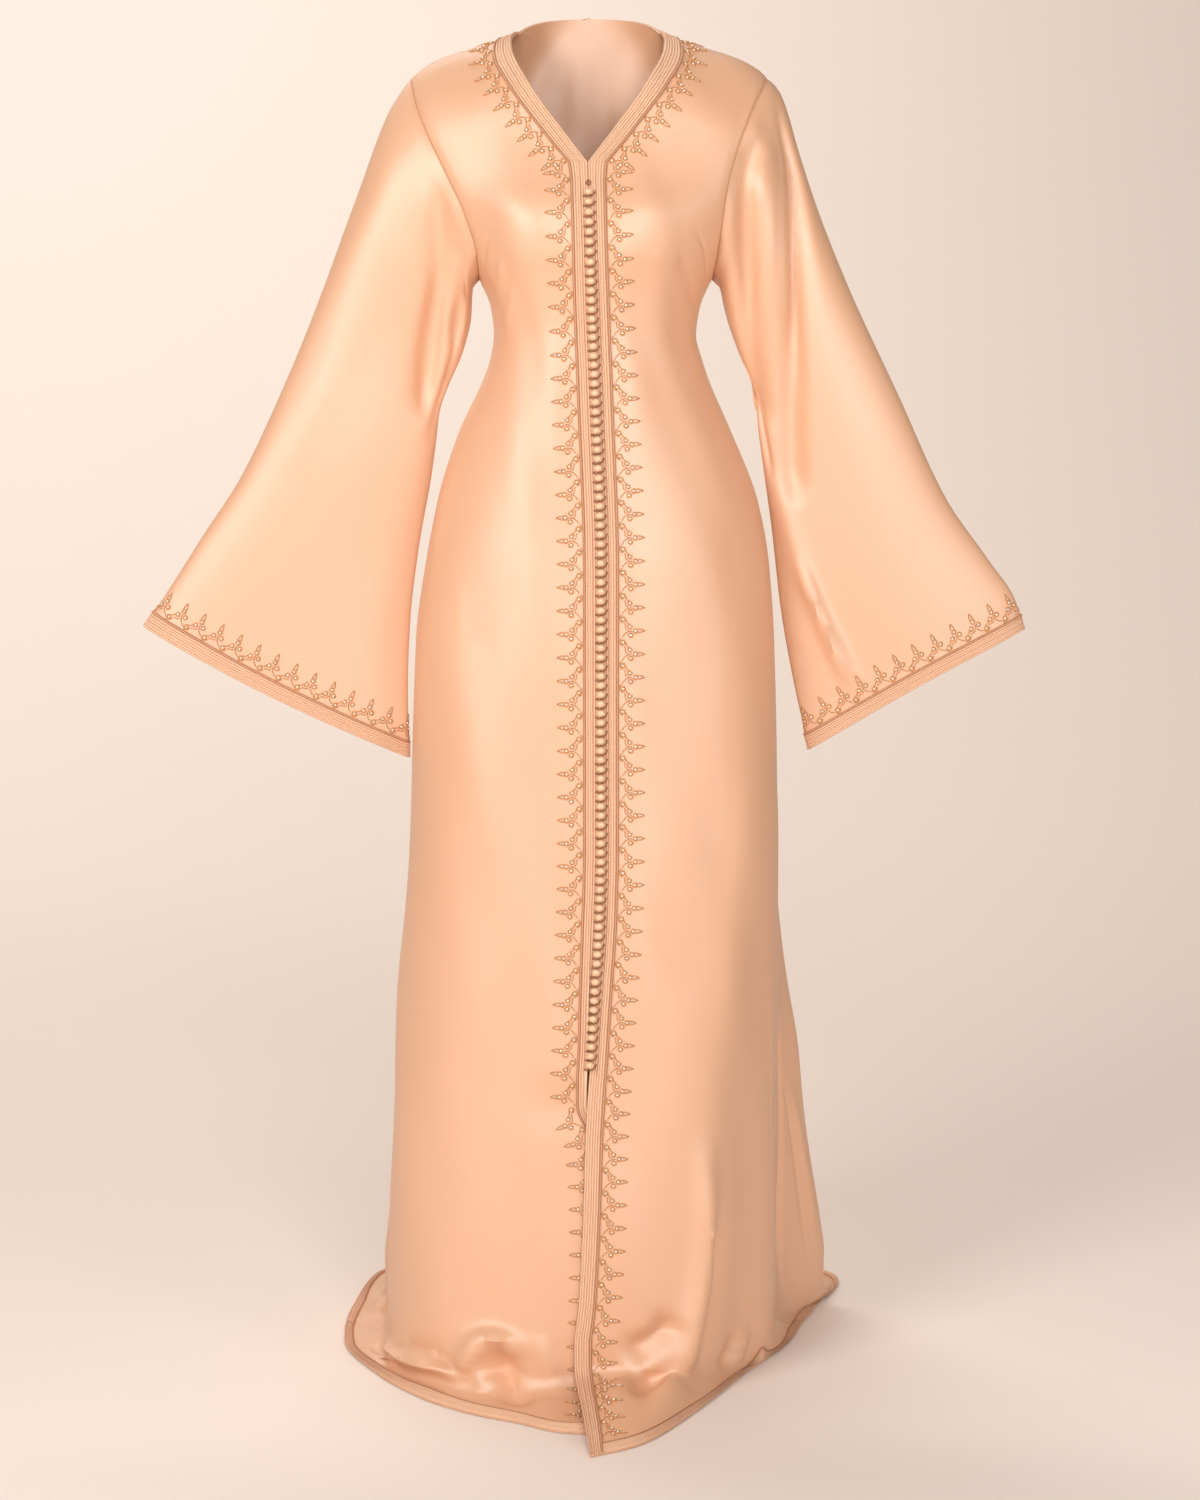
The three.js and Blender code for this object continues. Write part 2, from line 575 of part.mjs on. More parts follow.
// The back: rows from neck and shoulders to the hem, columns from the left side to the right
function backGrid() {
  const columns = 2 * FRONT_COLUMNS + NECK_COLUMNS;
  const sideOf = (j) => (j <= columns / 2 ? "left" : "right");
  const topPoint = (j) => {
    if (j <= FRONT_COLUMNS) return shoulderPoint("left", FRONT_COLUMNS - j);
    if (j >= columns - FRONT_COLUMNS) return shoulderPoint("right", j - columns + FRONT_COLUMNS);
    const across = lerp(-NECK_HALF, NECK_HALF, (j - FRONT_COLUMNS) / NECK_COLUMNS);
    const z = backNeckHeight(Math.abs(across));
    const offset = angleAt(across - centre.x(z), z);
    return bodyPoint(Math.sign(offset || 1) * (Math.PI - Math.abs(offset)), z);
  };
  const top = Array.from({ length: columns + 1 }, (_, j) => topPoint(j));
  const tops = top.map((point) => angleAt(point.x - centre.x(point.z), point.z));
  const place = (j, z, w) => {
    const outerSide = sideOf(j);
    const outer = Math.abs(z <= UNDERARM ? seamAngle(outerSide, z) : armholeAngle(outerSide, "back", z));
    const outerBack = z <= UNDERARM ? Math.PI - outer : outer;
    const edgeTop = Math.abs(outerSide === "left" ? tops[0] : tops[columns]);
    const atTop = Math.abs(tops[j]) / edgeTop;
    const evenly = Math.abs((2 * j) / columns - 1);
    const from = outerBack * lerp(atTop, evenly, w);
    return bodyPoint(signOf[outerSide] * (Math.PI - from), z);
  };
  const downFrom = (j, distance) => {
    let near = top[j].z;
    let far = near - 2 * distance;
    for (let i = 0; i < HALVINGS; i++) {
      const middle = (near + far) / 2;
      if (place(j, middle, 0).distanceTo(top[j]) < distance) near = middle;
      else far = middle;
    }
    return near;
  };
  const braidEnd = top.map((_, j) => downFrom(j, BRAID_WIDTH));
  const rows = [top];
  rows.push(top.map((_, j) => place(j, downFrom(j, BRAID_WIDTH / 2), 0)));
  rows.push(top.map((_, j) => place(j, braidEnd[j], 0)));
  for (let i = 1; i <= ARMHOLE_ROWS - 2; i++) {
    const k = i / (ARMHOLE_ROWS - 2);
    const m = 1 - (1 - k) ** BACK_CROWDING;
    rows.push(top.map((_, j) => place(j, lerp(braidEnd[j], UNDERARM, m), m)));
  }
  for (const z of SKIRT_LEVELS) rows.push(top.map((_, j) => place(j, z, 1)));
  for (let step = HEM_STEPS - 1; step >= 0; step--) {
    rows.push(
      top.map((_, j) => {
        const seam = Math.PI - Math.abs(seamAngle(sideOf(j), BREAK));
        const angle = Math.PI - seam * Math.abs((2 * j) / columns - 1);
        return skirtEnd(sideOf(j), signOf[sideOf(j)] * angle, step).point;
      }),
    );
  }
  return rows;
}

// A sleeve: rows from the armhole to the cuff, columns round it from the shoulder tip by the front
function sleeveGrid(side, front, back) {
  const { sign, upper, under, folds, backHem, frontHem } = SLEEVES[side];
  const upperX = through(upper, "z", "x");
  const underX = through(under, "z", "x");
  const ring = [];
  for (let i = 0; i <= ARMHOLE_ROWS; i++) ring.push(front[i][FRONT_COLUMNS]);
  for (let i = ARMHOLE_ROWS - 1; i > 0; i--) ring.push(back[i][side === "left" ? 0 : back[i].length - 1]);
  const count = ring.length;
  const formAt = (i, u) => {
    const theta = (2 * Math.PI * i) / count;
    const w = (1 - Math.cos(theta)) / 2;
    const upperZ = lerp(upper[0].z, upper.at(-1).z, u);
    const underZ = lerp(under[0].z, under.at(-1).z, u);
    const from = new THREE.Vector2(upperX(upperZ), upperZ);
    const to = new THREE.Vector2(underX(underZ), underZ);
    const place = from.clone().lerp(to, w);
    const across = to.clone().sub(from).normalize();
    const isFront = theta < Math.PI;
    const bow = (isFront ? frontHem : backHem) * ease(HEM_BOW_START, 1, u) * Math.sin(Math.PI * w);
    place.addScaledVector(new THREE.Vector2(-across.y, across.x), -bow);
    const depth = Math.sin(theta) * lerp(sleeveDepth.upper(u), sleeveDepth.under(u), w);
    const point = new THREE.Vector3(sign * place.x, sleeveDepth.middle(u) - depth, place.y);
    if (isFront) point.y -= foldAt(folds, place.x, place.y) * Math.abs(Math.sin(theta)) ** 0.5;
    return point;
  };
  const pointAt = (i, u) => {
    const shift = ring[i].clone().sub(formAt(i, 0));
    return formAt(i, u).addScaledVector(shift, sleeveDepth.seam(u));
  };
  const lengths = ring.map((point, i) => point.distanceTo(formAt(i, 1)));
  const rows = [ring];
  for (let row = 1; row <= SLEEVE_ROWS + 2; row++) {
    const toCuff = (SLEEVE_ROWS + BRAID_COLUMNS - row) / BRAID_COLUMNS;
    rows.push(
      ring.map((_, i) => {
        const trim = BRAID_WIDTH / lengths[i];
        const plain = lerp(SLEEVE_CROWN, 1 - trim, share(1, SLEEVE_ROWS, row));
        return pointAt(i, row <= SLEEVE_ROWS ? plain : 1 - trim * toCuff);
      }),
    );
  }
  return rows;
}

// Unit normal at each point of a grid
function normalsOf(rows, wrap, flip) {
  const at = (i, j) => {
    const row = rows[Math.min(rows.length - 1, Math.max(0, i))];
    const n = row.length;
    return row[wrap ? (j + n) % n : Math.min(n - 1, Math.max(0, j))];
  };
  return rows.map((row, i) =>
    row.map((_, j) => {
      const along = at(i + 1, j).clone().sub(at(i - 1, j));
      const across = at(i, j + 1).clone().sub(at(i, j - 1));
      return along.cross(across).normalize().multiplyScalar(flip ? -1 : 1);
    }),
  );
}

// Seam points shared by several pieces take one mitred direction, so the pieces keep an even gap
function mitre(pieces) {
  const shared = new Map();
  const keyOf = (point) => point.toArray().map((value) => Math.round(value / SAME_POINT)).join(" ");
  for (const piece of pieces) {
    piece.normals = normalsOf(piece.rows, piece.wrap, piece.flip);
    piece.rows.forEach((row, i) =>
      row.forEach((point, j) => {
        const key = keyOf(point);
        if (!shared.has(key)) shared.set(key, []);
        shared.get(key).push({ piece, i, j });
      }),
    );
  }
  for (const uses of shared.values()) {
    if (uses.length < 2) continue;
    const own = uses.map(({ piece, i, j }) => piece.normals[i][j].clone());
    const middle = own.reduce((sum, normal) => sum.add(normal), new THREE.Vector3()).normalize();
    const narrowest = Math.min(...own.map((normal) => normal.dot(middle)));
    middle.divideScalar(Math.max(narrowest, MITRE_LEAST));
    uses.forEach(({ piece, i, j }) => {
      piece.normals[i][j] = middle.clone();
      piece.seam ??= new Set();
      piece.seam.add(i + " " + j);
    });
  }
}

// Grid moved out by a lift, with seam points drawn back into their own piece
function lifted(piece, lift, rowRange, columnRange) {
  const { rows, normals, seam } = piece;
  const lastRow = rows.length - 1;
  const lastColumn = rows[0].length - 1;
  const within = (list, range) => list.map((_, i) => i).filter((i) => i >= range[0] && i <= range[1]);
  const rowsUsed = within(rows, rowRange);
  const columnsUsed = within(rows[0], columnRange);
  return rowsUsed.map((i) =>
    columnsUsed.map((j) => {
      const point = rows[i][j].clone().addScaledVector(normals[i][j], lift);
      if (!seam || !seam.has(i + " " + j)) return point;
      const inside = [];
      if (!piece.wrap && j === 0) inside.push(rows[i][1]);
      if (!piece.wrap && j === lastColumn) inside.push(rows[i][j - 1]);
      if (i === 0) inside.push(rows[1][j]);
      if (i === lastRow) inside.push(rows[i - 1][j]);
      for (const target of inside) {
        const pull = target.clone().sub(rows[i][j]);
        const across = normals[i][j].clone().normalize();
        pull.addScaledVector(across, -pull.dot(across)).normalize();
        point.addScaledVector(pull, SEAM_GAP / 2);
      }
      return point;
    }),
  );
}

// Closed sheet between an outer and an inner grid
function sheet(outer, inner, wrap, flip) {
  const rowCount = outer.length;
  const columnCount = outer[0].length;
  const points = [...outer.flat(), ...inner.flat()];
  const offset = rowCount * columnCount;
  const faces = [];
  const quad = (a, b, c, d) => faces.push(...(flip ? [a, c, b, a, d, c] : [a, b, c, a, c, d]));
  const id = (i, j) => i * columnCount + (j % columnCount);
  const lastColumn = wrap ? columnCount : columnCount - 1;
  for (let i = 0; i < rowCount - 1; i++) {
    for (let j = 0; j < lastColumn; j++) {
      quad(id(i, j), id(i + 1, j), id(i + 1, j + 1), id(i, j + 1));
      quad(offset + id(i, j), offset + id(i, j + 1), offset + id(i + 1, j + 1), offset + id(i + 1, j));
    }
    if (!wrap) {
      quad(id(i, 0), offset + id(i, 0), offset + id(i + 1, 0), id(i + 1, 0));
      const [upper, lower] = [id(i, lastColumn), id(i + 1, lastColumn)];
      quad(upper, lower, offset + lower, offset + upper);
    }
  }
  for (let j = 0; j < lastColumn; j++) {
    quad(id(0, j), id(0, j + 1), offset + id(0, j + 1), offset + id(0, j));
    const end = rowCount - 1;
    quad(id(end, j), offset + id(end, j), offset + id(end, j + 1), id(end, j + 1));
  }
  const geometry = new THREE.BufferGeometry();
  geometry.setAttribute("position", new THREE.Float32BufferAttribute(points.flatMap((p) => p.toArray()), 3));
  geometry.setIndex(faces);
  geometry.computeVertexNormals();
  return geometry;
}

const kaftan = new THREE.Group();
kaftan.name = "kaftan";

function add(name, geometry, finish) {
  const mesh = new THREE.Mesh(geometry, new THREE.MeshStandardMaterial(finish));
  mesh.name = name;
  kaftan.add(mesh);
}

function addSheet(name, piece, lift, thickness, finish, rowRange, columnRange) {
  const rows = rowRange ?? [0, piece.rows.length - 1];
  const columns = columnRange ?? [0, piece.rows[0].length - 1];
  const outer = lifted(piece, lift + thickness / 2, rows, columns);
  const inner = lifted(piece, lift - thickness / 2, rows, columns);
  for (const row of columns[0] === BRAID_COLUMNS ? [...outer, ...inner] : []) {
    row[0].lerp(row[1], SEAM_GAP / row[0].distanceTo(row[1]));
  }
  add(name, sheet(outer, inner, piece.wrap, piece.flip), finish);
}

const frontLeft = { rows: frontGrid("left"), wrap: false, flip: true };
const frontRight = { rows: frontGrid("right"), wrap: false, flip: false };
const back = { rows: backGrid(), wrap: false, flip: true };
const sleeveLeft = { rows: sleeveGrid("left", frontLeft.rows, back.rows), wrap: true, flip: false };
const sleeveRight = { rows: sleeveGrid("right", frontRight.rows, back.rows), wrap: true, flip: true };
mitre([frontLeft, frontRight, back, sleeveLeft, sleeveRight]);

addSheet("front_left", frontLeft, 0, WALL, SATIN);
addSheet("front_right", frontRight, 0, WALL, SATIN);
addSheet("back", back, 0, WALL, SATIN);
addSheet("sleeve_left", sleeveLeft, 0, WALL, SATIN);
addSheet("sleeve_right", sleeveRight, 0, WALL, SATIN);

// Braided trims lie on the points of the piece under them
const ON_CLOTH = WALL / 2 + BRAID_LIFT + BRAID_THICK / 2;
function addBraid(name, piece, rows, columns) {
  addSheet(name, piece, ON_CLOTH, BRAID_THICK, BRAID, rows, columns);
}
const hemRows = [frontLeft.rows.length - 1 - BRAID_COLUMNS, frontLeft.rows.length - 1];
const neckColumns = [FRONT_COLUMNS - BRAID_COLUMNS, FRONT_COLUMNS + NECK_COLUMNS + BRAID_COLUMNS];
const allRows = [0, frontLeft.rows.length - 1];
addBraid("front_trim_left", frontLeft, allRows, [0, BRAID_COLUMNS]);
addBraid("front_trim_right", frontRight, allRows, [0, BRAID_COLUMNS]);
addBraid("neck_trim_back", back, [0, BRAID_COLUMNS], neckColumns);
addBraid("cuff_trim_left", sleeveLeft, [SLEEVE_ROWS, SLEEVE_ROWS + 2], undefined);
addBraid("cuff_trim_right", sleeveRight, [SLEEVE_ROWS, SLEEVE_ROWS + 2], undefined);

// Row of braided ball knots down the meeting line, joined by their cord in short lengths
const ON_BRAID = WALL / 2 + BRAID_LIFT + BRAID_THICK + KNOT_CLEAR + KNOT_HALF_DEPTH;
const meeting = frontRight.rows.slice(YOKE_ROWS).map((row, i) => ({
  point: row[0],
  out: frontRight.normals[YOKE_ROWS + i][0].clone().normalize(),
}));

function meetingPoint(z) {
  const i = meeting.findIndex(({ point }) => point.z <= z);
  const [from, to] = [meeting[i - 1], meeting[i]];
  const t = share(from.point.z, to.point.z, z);
  return from.point.clone().lerp(to.point, t).addScaledVector(from.out.clone().lerp(to.out, t), ON_BRAID);
}

function knotChain(first, last) {
  const pitch = (LAST_KNOT - FIRST_KNOT) / (KNOT_COUNT - 1);
  const rings = [];
  const ring = (place, size) => {
    const middle = meetingPoint(FIRST_KNOT + pitch * place);
    rings.push(
      Array.from({ length: KNOT_SIDES }, (_, k) => {
        const angle = (2 * Math.PI * k) / KNOT_SIDES;
        const wide = KNOT_CORD + (KNOT_HALF_WIDTH - KNOT_CORD) * size;
        const deep = KNOT_CORD + (KNOT_HALF_DEPTH - KNOT_CORD) * size;
        return middle.clone().add(new THREE.Vector3(wide * Math.sin(angle), -deep * Math.cos(angle), 0));
      }),
    );
  };
  for (let knot = first; knot <= last; knot++) {
    for (const { at, size } of KNOT_RINGS) ring(knot + at, size);
  }
  const points = rings.flat();
  const faces = [];
  const id = (i, k) => i * KNOT_SIDES + (k % KNOT_SIDES);
  for (let i = 0; i < rings.length - 1; i++) {
    for (let k = 0; k < KNOT_SIDES; k++) {
      faces.push(id(i, k), id(i + 1, k), id(i + 1, k + 1), id(i, k), id(i + 1, k + 1), id(i, k + 1));
    }
  }
  for (let k = 1; k < KNOT_SIDES - 1; k++) {
    faces.push(id(0, 0), id(0, k), id(0, k + 1));
    faces.push(id(rings.length - 1, 0), id(rings.length - 1, k + 1), id(rings.length - 1, k));
  }
  const geometry = new THREE.BufferGeometry();
  geometry.setAttribute("position", new THREE.Float32BufferAttribute(points.flatMap((p) => p.toArray()), 3));
  geometry.setIndex(faces);
  geometry.computeVertexNormals();
  return geometry;
}

for (let group = 0; group * KNOTS_PER_GROUP < KNOT_COUNT; group++) {
  const first = group * KNOTS_PER_GROUP;
  const last = Math.min(first + KNOTS_PER_GROUP, KNOT_COUNT) - 1;
  add("knots_" + String(group + 1).padStart(2, "0"), knotChain(first, last), CORD);
}

// Hem trims run from the front trims round to the side seams and across the back
addBraid("hem_trim_left", frontLeft, hemRows, [BRAID_COLUMNS, FRONT_COLUMNS]);
addBraid("hem_trim_right", frontRight, hemRows, [BRAID_COLUMNS, FRONT_COLUMNS]);
addBraid("hem_trim_back", back, hemRows, undefined);

export default kaftan;
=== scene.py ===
import math

import bpy
import numpy as np
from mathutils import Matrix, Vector
from mathutils.bvhtree import BVHTree


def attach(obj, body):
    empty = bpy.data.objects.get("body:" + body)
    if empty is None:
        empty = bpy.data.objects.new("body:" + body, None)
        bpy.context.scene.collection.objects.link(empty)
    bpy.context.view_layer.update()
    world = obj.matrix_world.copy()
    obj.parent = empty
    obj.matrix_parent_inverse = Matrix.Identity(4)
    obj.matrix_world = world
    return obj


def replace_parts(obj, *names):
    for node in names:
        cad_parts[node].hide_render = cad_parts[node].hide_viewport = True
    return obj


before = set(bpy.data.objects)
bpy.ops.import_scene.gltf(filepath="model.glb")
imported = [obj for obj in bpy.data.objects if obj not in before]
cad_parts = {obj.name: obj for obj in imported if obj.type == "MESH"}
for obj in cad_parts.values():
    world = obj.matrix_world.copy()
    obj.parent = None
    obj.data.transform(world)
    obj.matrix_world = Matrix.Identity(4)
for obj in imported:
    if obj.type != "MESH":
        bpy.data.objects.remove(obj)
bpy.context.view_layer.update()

# Kaftan, worn form. Shapes are worked out in millimetres and made in metres.
MM = 0.001

# Cloth and braid
WALL = 1.6
CLOTH = 1.3
SEAM_DIP = 1.3
SEAM_REACH = 2.4
MITRE_LEAST = 0.3
BRAID_WIDTH = 19.0
BRAID_BASE = 1.1
BRAID_SLANT = 0.22
SLANT_FULL = -30.0
SLANT_BLEND = 25.0

# Levels
NECK_TOP = 18.0
V_BOTTOM = -131.0
V_ROW_OUTER = -150.0
UNDERARM = -248.0
SLIT_TOP = -1093.0
SLIT_END = -1135.0
BREAK = -1385.0
FLOOR = -1455.0
SHELL_FLOOR = FLOOR + WALL / 2

NECK_HALF = 77.0
FRONT_ROUND = 95.0
BACK_ROUND = 80.0

LAP_DEPTH = 5.5
LAP_SPREAD = 90.0
LAP_FLOOR = 18.0
LAP_LIFT = 5.0
LAP_SIDE = (40.0, 95.0)
LAP_HEM = (12.0, 45.0)

# Rows and columns of the cut, on which the fine rows and columns are counted
FRONT_COLUMNS = 10
NECK_COLUMNS = 4
BRAID_COLUMNS = 2
BRAID_STEP = BRAID_WIDTH / BRAID_COLUMNS
YOKE_ROWS = 6
ARM_ROWS = 5
ARM_END = YOKE_ROWS + ARM_ROWS
YOKE_CROWDING = 1.5
BACK_CROWDING = 1.35
HALVINGS = 24
SLEEVE_ROWS = 16
SLEEVE_CROWN = 0.016
HEM_STEPS = 8
HEM_STEP_LEAST = 6.0
HEM_ROUND = 26.0
HEM_ROUND_SHARE = 0.8
HEM_SLOPE = 0.18
SKIRT_LEVELS = [
    -280, -309, -340, -375, -415, -460, -510, -565, -630, -700, -780, -860, -940, -1015, SLIT_TOP,
    SLIT_END, -1175, -1245, -1315, BREAK,
]
BREAK_ROW = ARM_END + len(SKIRT_LEVELS)
LAST_ROW = BREAK_ROW + HEM_STEPS


def table(names, rows):
    return [dict(zip(names.split(), row)) for row in rows]


# Body sections: reach to each side, depth of front and back from y = 0, side seam line, corner power
BODY = table("z left right front back side corner", [
    (40, 222, 226, 58, 60, 10, 2.2),
    (-50, 216, 220, 72, 66, 10, 2.2),
    (-98, 208, 213, 82, 72, 10, 2.2),
    (-142, 190, 198, 94, 76, 10, 2.2),
    (-187, 157, 170, 108, 76, 10, 2.2),
    (-226, 132, 147, 110, 72, 10, 2.2),
    (-250, 120, 132, 106, 68, 10, 2.2),
    (-280, 108, 119, 102, 64, 9, 2.2),
    (-309, 105, 115, 99, 62, 8, 2.2),
    (-335, 109, 122, 100, 64, 8, 2.2),
    (-360, 118, 131, 103, 69, 8, 2.2),
    (-412, 142, 154, 111, 84, 7, 2.25),
    (-489, 167, 184, 122, 102, 6, 2.3),
    (-560, 182, 198, 131, 110, 5, 2.3),
    (-640, 193, 204, 134, 111, 3, 2.3),
    (-858, 201, 209, 142, 120, 0, 2.35),
    (-1052, 215, 210, 155, 142, 0, 2.4),
    (-1180, 222, 209.5, 166, 160, 0, 2.4),
    (-1285, 227, 209.5, 177, 178, 0, 2.4),
    (-1400, 230, 209.5, 188, 198, 0, 2.4),
])

# Line where the two fronts meet. The left front's edge turns back, stands off at the slit, then runs under
CENTRE = table("z x turn off lap", [
    (-131, -2, 0, 0, 0),
    (-276, 2, 0, 0, 0),
    (-380, 6, 0, 0, 0),
    (-560, 12, 0, 0, 0),
    (-859, 12, 0, 4.6, 0),
    (-940, 10, 0, 4.6, 0),
    (-1015, 5, 0.5, 4.6, 0),
    (-1093, 0, 1, 4.6, 0),
    (-1135, -3, 1, 2.4, 0),
    (-1175, -5, 0, 0, 24),
    (-1245, -7, 0, 0, 31),
    (-1344, -12, 0, 0, 36),
    (-1400, -19, 0, 0, 40),
])

SHOULDER = table("x z", [
    (0, 120), (22, 99), (45, 67), (63, 40), (72, 25), (77, 18), (93, 11),
    (110, 5), (130, -1.5), (151, -7.5), (170, -15), (184, -23.5), (196, -33),
])
NECKLINE = table("z half", [
    (18, 77), (6, 82), (-6, 81), (-18, 77), (-33, 69), (-58, 54), (-95, 27), (-131, 0),
])
BACK_NECK = table("x z", [(0, 39.5), (22, 38.5), (45, 35), (63, 29), (77, 18)])

# Armhole seams: distance from x = 0 at each height
ARMHOLES = {
    "left": table("z front back", [
        (-33, 196, 196), (-65, 188, 186), (-98, 175, 172), (-142, 154, 157), (-187, 133, 142),
        (-226, 122, 128), (-248, 120.5, 120.5),
    ]),
    "right": table("z front back", [
        (-33, 193, 193), (-76, 173.5, 180), (-119, 158, 166), (-158, 148, 154), (-203, 141, 142),
        (-226, 137.5, 137), (-248, 133, 133),
    ]),
}

# Extra width of the back skirt towards its corners, and the right side seam's turn to the back in degrees
FLARE = table("z left right turn", [
    (-520, 0, 0, 0), (-940, 38, 62, 0), (-1045, 48, 82, 3), (-1125, 56, 98, 5),
    (-1205, 62, 108, 7), (-1325, 72, 131, 9), (-1400, 80, 147, 10),
])
FLARE_MIDDLE = 145.0
FLARE_FORWARD = 27.0
FLARE_BACKWARD = 22.0

# Hem on the floor by share of the half round, from the front edge to the middle of the back
HEM = {
    "left": table("t x y", [
        (-0.05, 26, -285), (0, -15, -279), (0.017, -31, -276), (0.069, -74, -250), (0.133, -128, -221),
        (0.2, -178, -180), (0.311, -240, -94), (0.43, -283, 9), (0.5, -287, 77), (0.65, -282, 155),
        (0.8, -264, 262), (0.9, -170, 312), (1, 0, 322),
    ]),
    "right": table("t x y", [
        (0, 1, -345), (0.062, 52, -312), (0.166, 107, -227), (0.305, 168, -106), (0.45, 230, 10),
        (0.55, 250, 76), (0.64, 266, 122), (0.71, 281, 168), (0.8, 304, 239), (0.87, 255, 295),
        (0.94, 120, 316), (1, 0, 322),
    ]),
}

BUST = {"x": 66, "z": -200, "wide": 52, "tall": 56, "out": 15}

# Large folds of the front skirt: top, full depth, width, outward depth, line of (z, x)
FRONT_FOLDS = table("top full width out line", [
    (-680, -900, 26, 7, [(-700, 184), (-1045, 158), (-1400, 121)]),
    (-760, -1400, 42, -44, [(-760, 200), (-1400, 170)]),
])
FRONT_FOLD_END = (86.0, 100.0)
BACK_FOLDS = table("x width top out", [
    (-128, 36, -700, -17), (-62, 32, -600, 13), (2, 36, -560, -20),
    (68, 32, -640, 14), (136, 38, -680, -18),
])
HEAPS = {
    "left": table("t width up inward deep", [
        (0.09, 0.035, 14, 62, 26), (0.2, 0.04, 12, 50, 22), (0.36, 0.04, 10, 40, 18),
        (0.62, 0.05, 14, 55, 24), (0.82, 0.05, 16, 60, 26),
    ]),
    "right": table("t width up inward deep", [
        (0.05, 0.04, 10, 85, 30), (0.12, 0.035, 15, 60, 24), (0.5, 0.05, 10, 40, 18),
        (0.72, 0.05, 15, 55, 24), (0.9, 0.05, 16, 60, 26),
    ]),
}

# Sleeves in front view: upper edge and under edge by height, bow of the hem, and large folds
SLEEVES = {
    "left": {
        "back_hem": 20, "front_hem": -5,
        "upper": table("z x", [
            (-33, 196), (-71, 221), (-168, 259), (-265, 295), (-363, 335), (-461, 383), (-527, 427),
            (-594, 471), (-629, 495),
        ]),
        "under": table("z x", [
            (-248, 120.5), (-256, 129), (-290, 132), (-325, 141), (-359, 155), (-396, 166.5), (-472, 178),
            (-543, 191), (-619, 200), (-700, 203), (-775, 203.5),
        ]),
        "folds": table("top full width out line", [
            (-95, -150, 13, -11, [(-100, 166), (-229, 163), (-331, 177), (-410, 187)]),
            (-185, -230, 9, -8, [(-190, 146), (-270, 143), (-340, 156)]),
        ]),
    },
    "right": {
        "back_hem": 4, "front_hem": 4,
        "upper": table("z x", [
            (-33, 193), (-50, 207), (-110, 228), (-190, 257), (-271, 289), (-379, 341), (-489, 393),
            (-555, 441), (-597, 471), (-632, 481),
        ]),
        "under": table("z x", [
            (-248, 133), (-256, 142), (-272, 146), (-293, 152), (-325, 164), (-364, 179.5), (-414, 187),
            (-515, 202), (-604, 211), (-708, 231), (-766, 245),
        ]),
        "folds": table("top full width out line", [
            (-85, -130, 12, -11, [(-85, 186), (-167, 171), (-330, 177), (-420, 196)]),
            (-45, -110, 13, -13, [(-45, 197), (-167, 222), (-384, 222), (-500, 226)]),
            (-430, -520, 11, 6, [(-430, 196), (-558, 231), (-660, 275), (-715, 303)]),
        ]),
    },
}
SLEEVE_DEPTHS = table("u upper under middle seam", [
    (0, 60, 50, 4, 1), (0.06, 60, 40, 4, 0.55), (0.14, 56, 30, 3, 0.2), (0.3, 46, 20, 2, 0),
    (0.6, 38, 16, 0, 0), (1, 26, 15, -4, 0),
])
FOLD_FADE = 45.0
HEM_BOW_START = 0.7

SIGN = {"left": -1, "right": 1}


def lerp(a, b, t):
    return a + (b - a) * t


def share(a, b, x):
    return np.clip((np.asarray(x, float) - a) / (b - a), 0, 1)


def ease(a, b, x):
    t = share(a, b, x)
    return t * t * (3 - 2 * t)


def bell(distance, width):
    return np.exp(-((distance / width) ** 2))


def unit(vectors):
    return vectors / np.linalg.norm(vectors, axis=-1, keepdims=True)


def numbered(rows, cols, start=0):
    """Numbers of the points of a grid."""
    return np.arange(rows * cols).reshape(rows, cols) + start


def quads(*corners):
    return np.stack(corners, -1).reshape(-1, 4)


def through(rows, key, value):
    """A smooth curve through one column of a table that doesn't overshoot its rows."""
    rows = sorted(rows, key=lambda row: row[key])
    xs = np.array([row[key] for row in rows], float)
    ys = np.array([row[value] for row in rows], float)
    widths = np.diff(xs)
    slopes = np.diff(ys) / widths
    product = slopes[:-1] * slopes[1:]
    total = np.where(product > 0, slopes[:-1] + slopes[1:], 1)
    tangents = np.concatenate([slopes[:1], np.where(product > 0, 2 * product / total, 0), slopes[-1:]])

    def value_at(x):
        x = np.clip(np.asarray(x, float), xs[0], xs[-1])
        i = np.clip(np.searchsorted(xs, x, side="right") - 1, 0, len(widths) - 1)
        t = (x - xs[i]) / widths[i]
        enter = tangents[i] * widths[i]
        leave = tangents[i + 1] * widths[i]
        rise = ys[i + 1] - ys[i]
        return ys[i] + t * (enter + t * (3 * rise - 2 * enter - leave + t * (enter + leave - 2 * rise)))

    return value_at


def columns(rows, key):
    return {name: through(rows, key, name) for name in rows[0] if name != key}


body = columns(BODY, "z")
centre = columns(CENTRE, "z")
flare = columns(FLARE, "z")
sleeve_depth = columns(SLEEVE_DEPTHS, "u")
shoulder_height = through(SHOULDER, "x", "z")
neck_half = through(NECKLINE, "z", "half")
back_neck_height = through(BACK_NECK, "x", "z")
armholes = {side: columns(ARMHOLES[side], "z") for side in SIGN}
hem = {side: columns(HEM[side], "t") for side in SIGN}


def fold_at(folds, x, z):
    """How far the large folds stand out at a place."""
    total = 0
    for fold in folds:
        line = through([{"z": at, "x": across} for at, across in fold["line"]], "z", "x")
        end = fold["line"][-1][0]
        still_open = 1 if end <= BREAK else ease(end, end + FOLD_FADE, z)
        depth = fold["out"] * still_open * ease(fold["top"], fold["full"], z)
        total = total + depth * bell(x - line(z), fold["width"])
    return total


